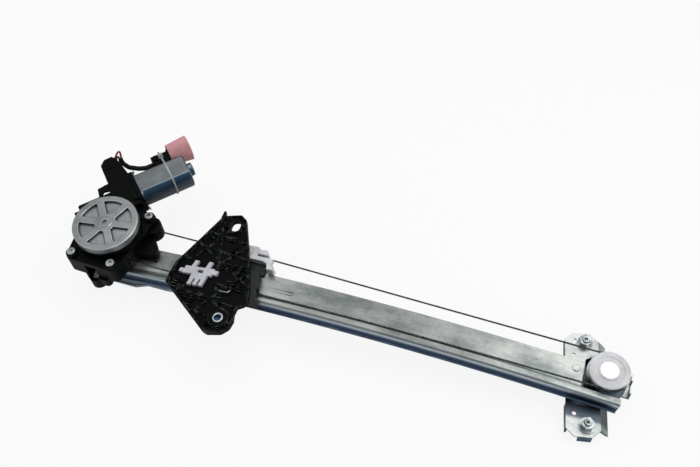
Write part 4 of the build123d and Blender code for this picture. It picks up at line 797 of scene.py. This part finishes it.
fittedClip = {
    "middle": (-17.0, -15.0, 12.5),
    "lean": 0.17,            # rise along the rail, its prongs stay upright
    "length": 0.9,           # these two are shares of the solid's own size
    "height": 0.9,
    "drop": 1.0,             # in mm
}
fittedShoe = {
    "end": (39.5, -0.8),     # s of its right end at the upper edge, y there
    "lean": 0.22,            # how far the end leans out towards the flange
    "weld": 1e-6,
}


def copyMesh(name):
    mesh = bmesh.new()
    mesh.from_mesh(nodes[name].data)
    mesh.transform(nodes[name].matrix_world)
    return mesh


def fitClip():
    mesh = copyMesh("glass_clip")
    middle = carrierSpot(*fittedClip["middle"])
    for vert in mesh.verts:
        s = (vert.co - middle).dot(alongRail)
        height = (vert.co.y - middle.y) * fittedClip["height"]
        vert.co.y = middle.y + height + s * fittedClip["lean"] - fittedClip["drop"] / 1000
        vert.co += alongRail * s * (fittedClip["length"] - 1.0)
    addPiece("glass_clip_fitted", mesh, "white_plastic", "carrier", "glass_clip")


def fitShoe():
    mesh = copyMesh("slider_shoe")
    end = carrierSpot(*fittedShoe["end"], 0.0)
    face = (alongRail + Vector((0, fittedShoe["lean"], 0))).normalized()
    bmesh.ops.remove_doubles(mesh, verts=mesh.verts, dist=fittedShoe["weld"])
    whole = list(mesh.verts) + list(mesh.edges) + list(mesh.faces)
    cut = bmesh.ops.bisect_plane(mesh, geom=whole, plane_co=end, plane_no=face, clear_outer=True)
    rim = [item for item in cut["geom_cut"] if isinstance(item, bmesh.types.BMEdge)]
    bmesh.ops.triangle_fill(mesh, use_beauty=True, edges=rim)
    addPiece("slider_shoe_fitted", mesh, "dark_plastic", "carrier", "slider_shoe")


fitClip()
fitShoe()
print("clip and shoe fitted")


# lids of the brush room: the photo shows the gear housing closed beside the can

lids = {
    "angle": 46.0,           # of the armature, in the plan
    "origin": (2.0, 37.5),   # the wheel's axis
    "middle": (38.1, 32.0),  # along the armature and away from the wheel, in mm
    "half": (3.5, 16.4),
    "corner": 1.6,
    "steps": 5,              # of each rounded corner
    "levels": [(46.6, 49.2), (28.4, 31.2)],
    "chamfer": 0.5,
}


def closeBrushRoom():
    # rounded plates with a chamfered rim
    mesh = bmesh.new()
    turn = radians(lids["angle"])
    chamfer = lids["chamfer"]
    for low, high in lids["levels"]:
        loops = []
        profile = ((low, chamfer), (low + chamfer, 0.0), (high - chamfer, 0.0), (high, chamfer))
        for z, inset in profile:
            loop = []
            for corner, (signA, signP) in enumerate(((1, 1), (-1, 1), (-1, -1), (1, -1))):
                cornerA = lids["middle"][0] + signA * (lids["half"][0] - lids["corner"])
                cornerP = lids["middle"][1] + signP * (lids["half"][1] - lids["corner"])
                for step in range(lids["steps"] + 1):
                    angle = pi / 2 * corner + pi / 2 * step / lids["steps"]
                    a = cornerA + (lids["corner"] - inset) * cos(angle)
                    p = cornerP + (lids["corner"] - inset) * sin(angle)
                    x = lids["origin"][0] + a * cos(turn) - p * sin(turn)
                    y = lids["origin"][1] + a * sin(turn) + p * cos(turn)
                    loop.append(mesh.verts.new((x / 1000, y / 1000, z / 1000)))
            loops.append(loop)
        closedSkin(mesh, loops)
    addPiece("brush_room_lids", mesh, "black_plastic", "frame")


closeBrushRoom()
print("brush room closed")


# steel cables: a twisted strand along each run, in place of the plain CAD rods

rope = {
    "radius": 0.0009,
    "strands": 6,
    "lobe": 0.00013,         # how far the strands stand out
    "lay": 0.009,            # length of one twist
    "ring": 0.0011,          # spacing of the rings along the run
    "around": 24,
    "endSpan": 0.0008,       # points of a CAD run this near its end belong to the end
}


def layRope(name, points, replaced):
    # a lobed round section, turned as it goes along the points
    mesh = bmesh.new()
    rings = []
    travelled = 0.0
    side = Vector((0, 0, 1))
    for index, point in enumerate(points):
        ahead, behind = points[min(index + 1, len(points) - 1)], points[max(index - 1, 0)]
        along = (ahead - behind).normalized()
        side = (side - along * side.dot(along)).normalized()
        other = along.cross(side)
        if index:
            travelled += (point - points[index - 1]).length
        turn = 2 * pi * travelled / rope["lay"]
        ring = []
        for angle in anglesRound(rope["around"]):
            radius = rope["radius"] - rope["lobe"] * (0.5 + 0.5 * cos(rope["strands"] * angle))
            out = side * cos(angle + turn) + other * sin(angle + turn)
            ring.append(mesh.verts.new(point + out * radius))
        rings.append(ring)
    closedSkin(mesh, rings)
    return addPiece(name, mesh, "cable_steel", replaced=replaced, smooth=True)


def alongLine(start, end):
    count = max(2, int((end - start).length / rope["ring"]))
    return [start.lerp(end, i / count) for i in range(count + 1)]


def endsOf(name):
    # the two end points of a straight CAD run, from its own mesh
    spots = [vert.co for vert in nodes[name].data.vertices]
    xs = [spot.x for spot in spots]
    ends = []
    for edge in (min(xs), max(xs)):
        near = [spot for spot in spots if abs(spot.x - edge) < rope["endSpan"]]
        ends.append(sum(near, Vector()) / len(near))
    return ends


leftIn, leftOut = endsOf("left_cable_run")
leftRope = layRope("left_rope", alongLine(leftIn, leftOut), "left_cable_run")
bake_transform(leftRope)

rightIn, rightOut = endsOf("right_cable_run")
rightRope = layRope("right_rope", alongLine(rightIn, rightOut), "right_cable_run")
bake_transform(rightRope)
print("ropes laid")
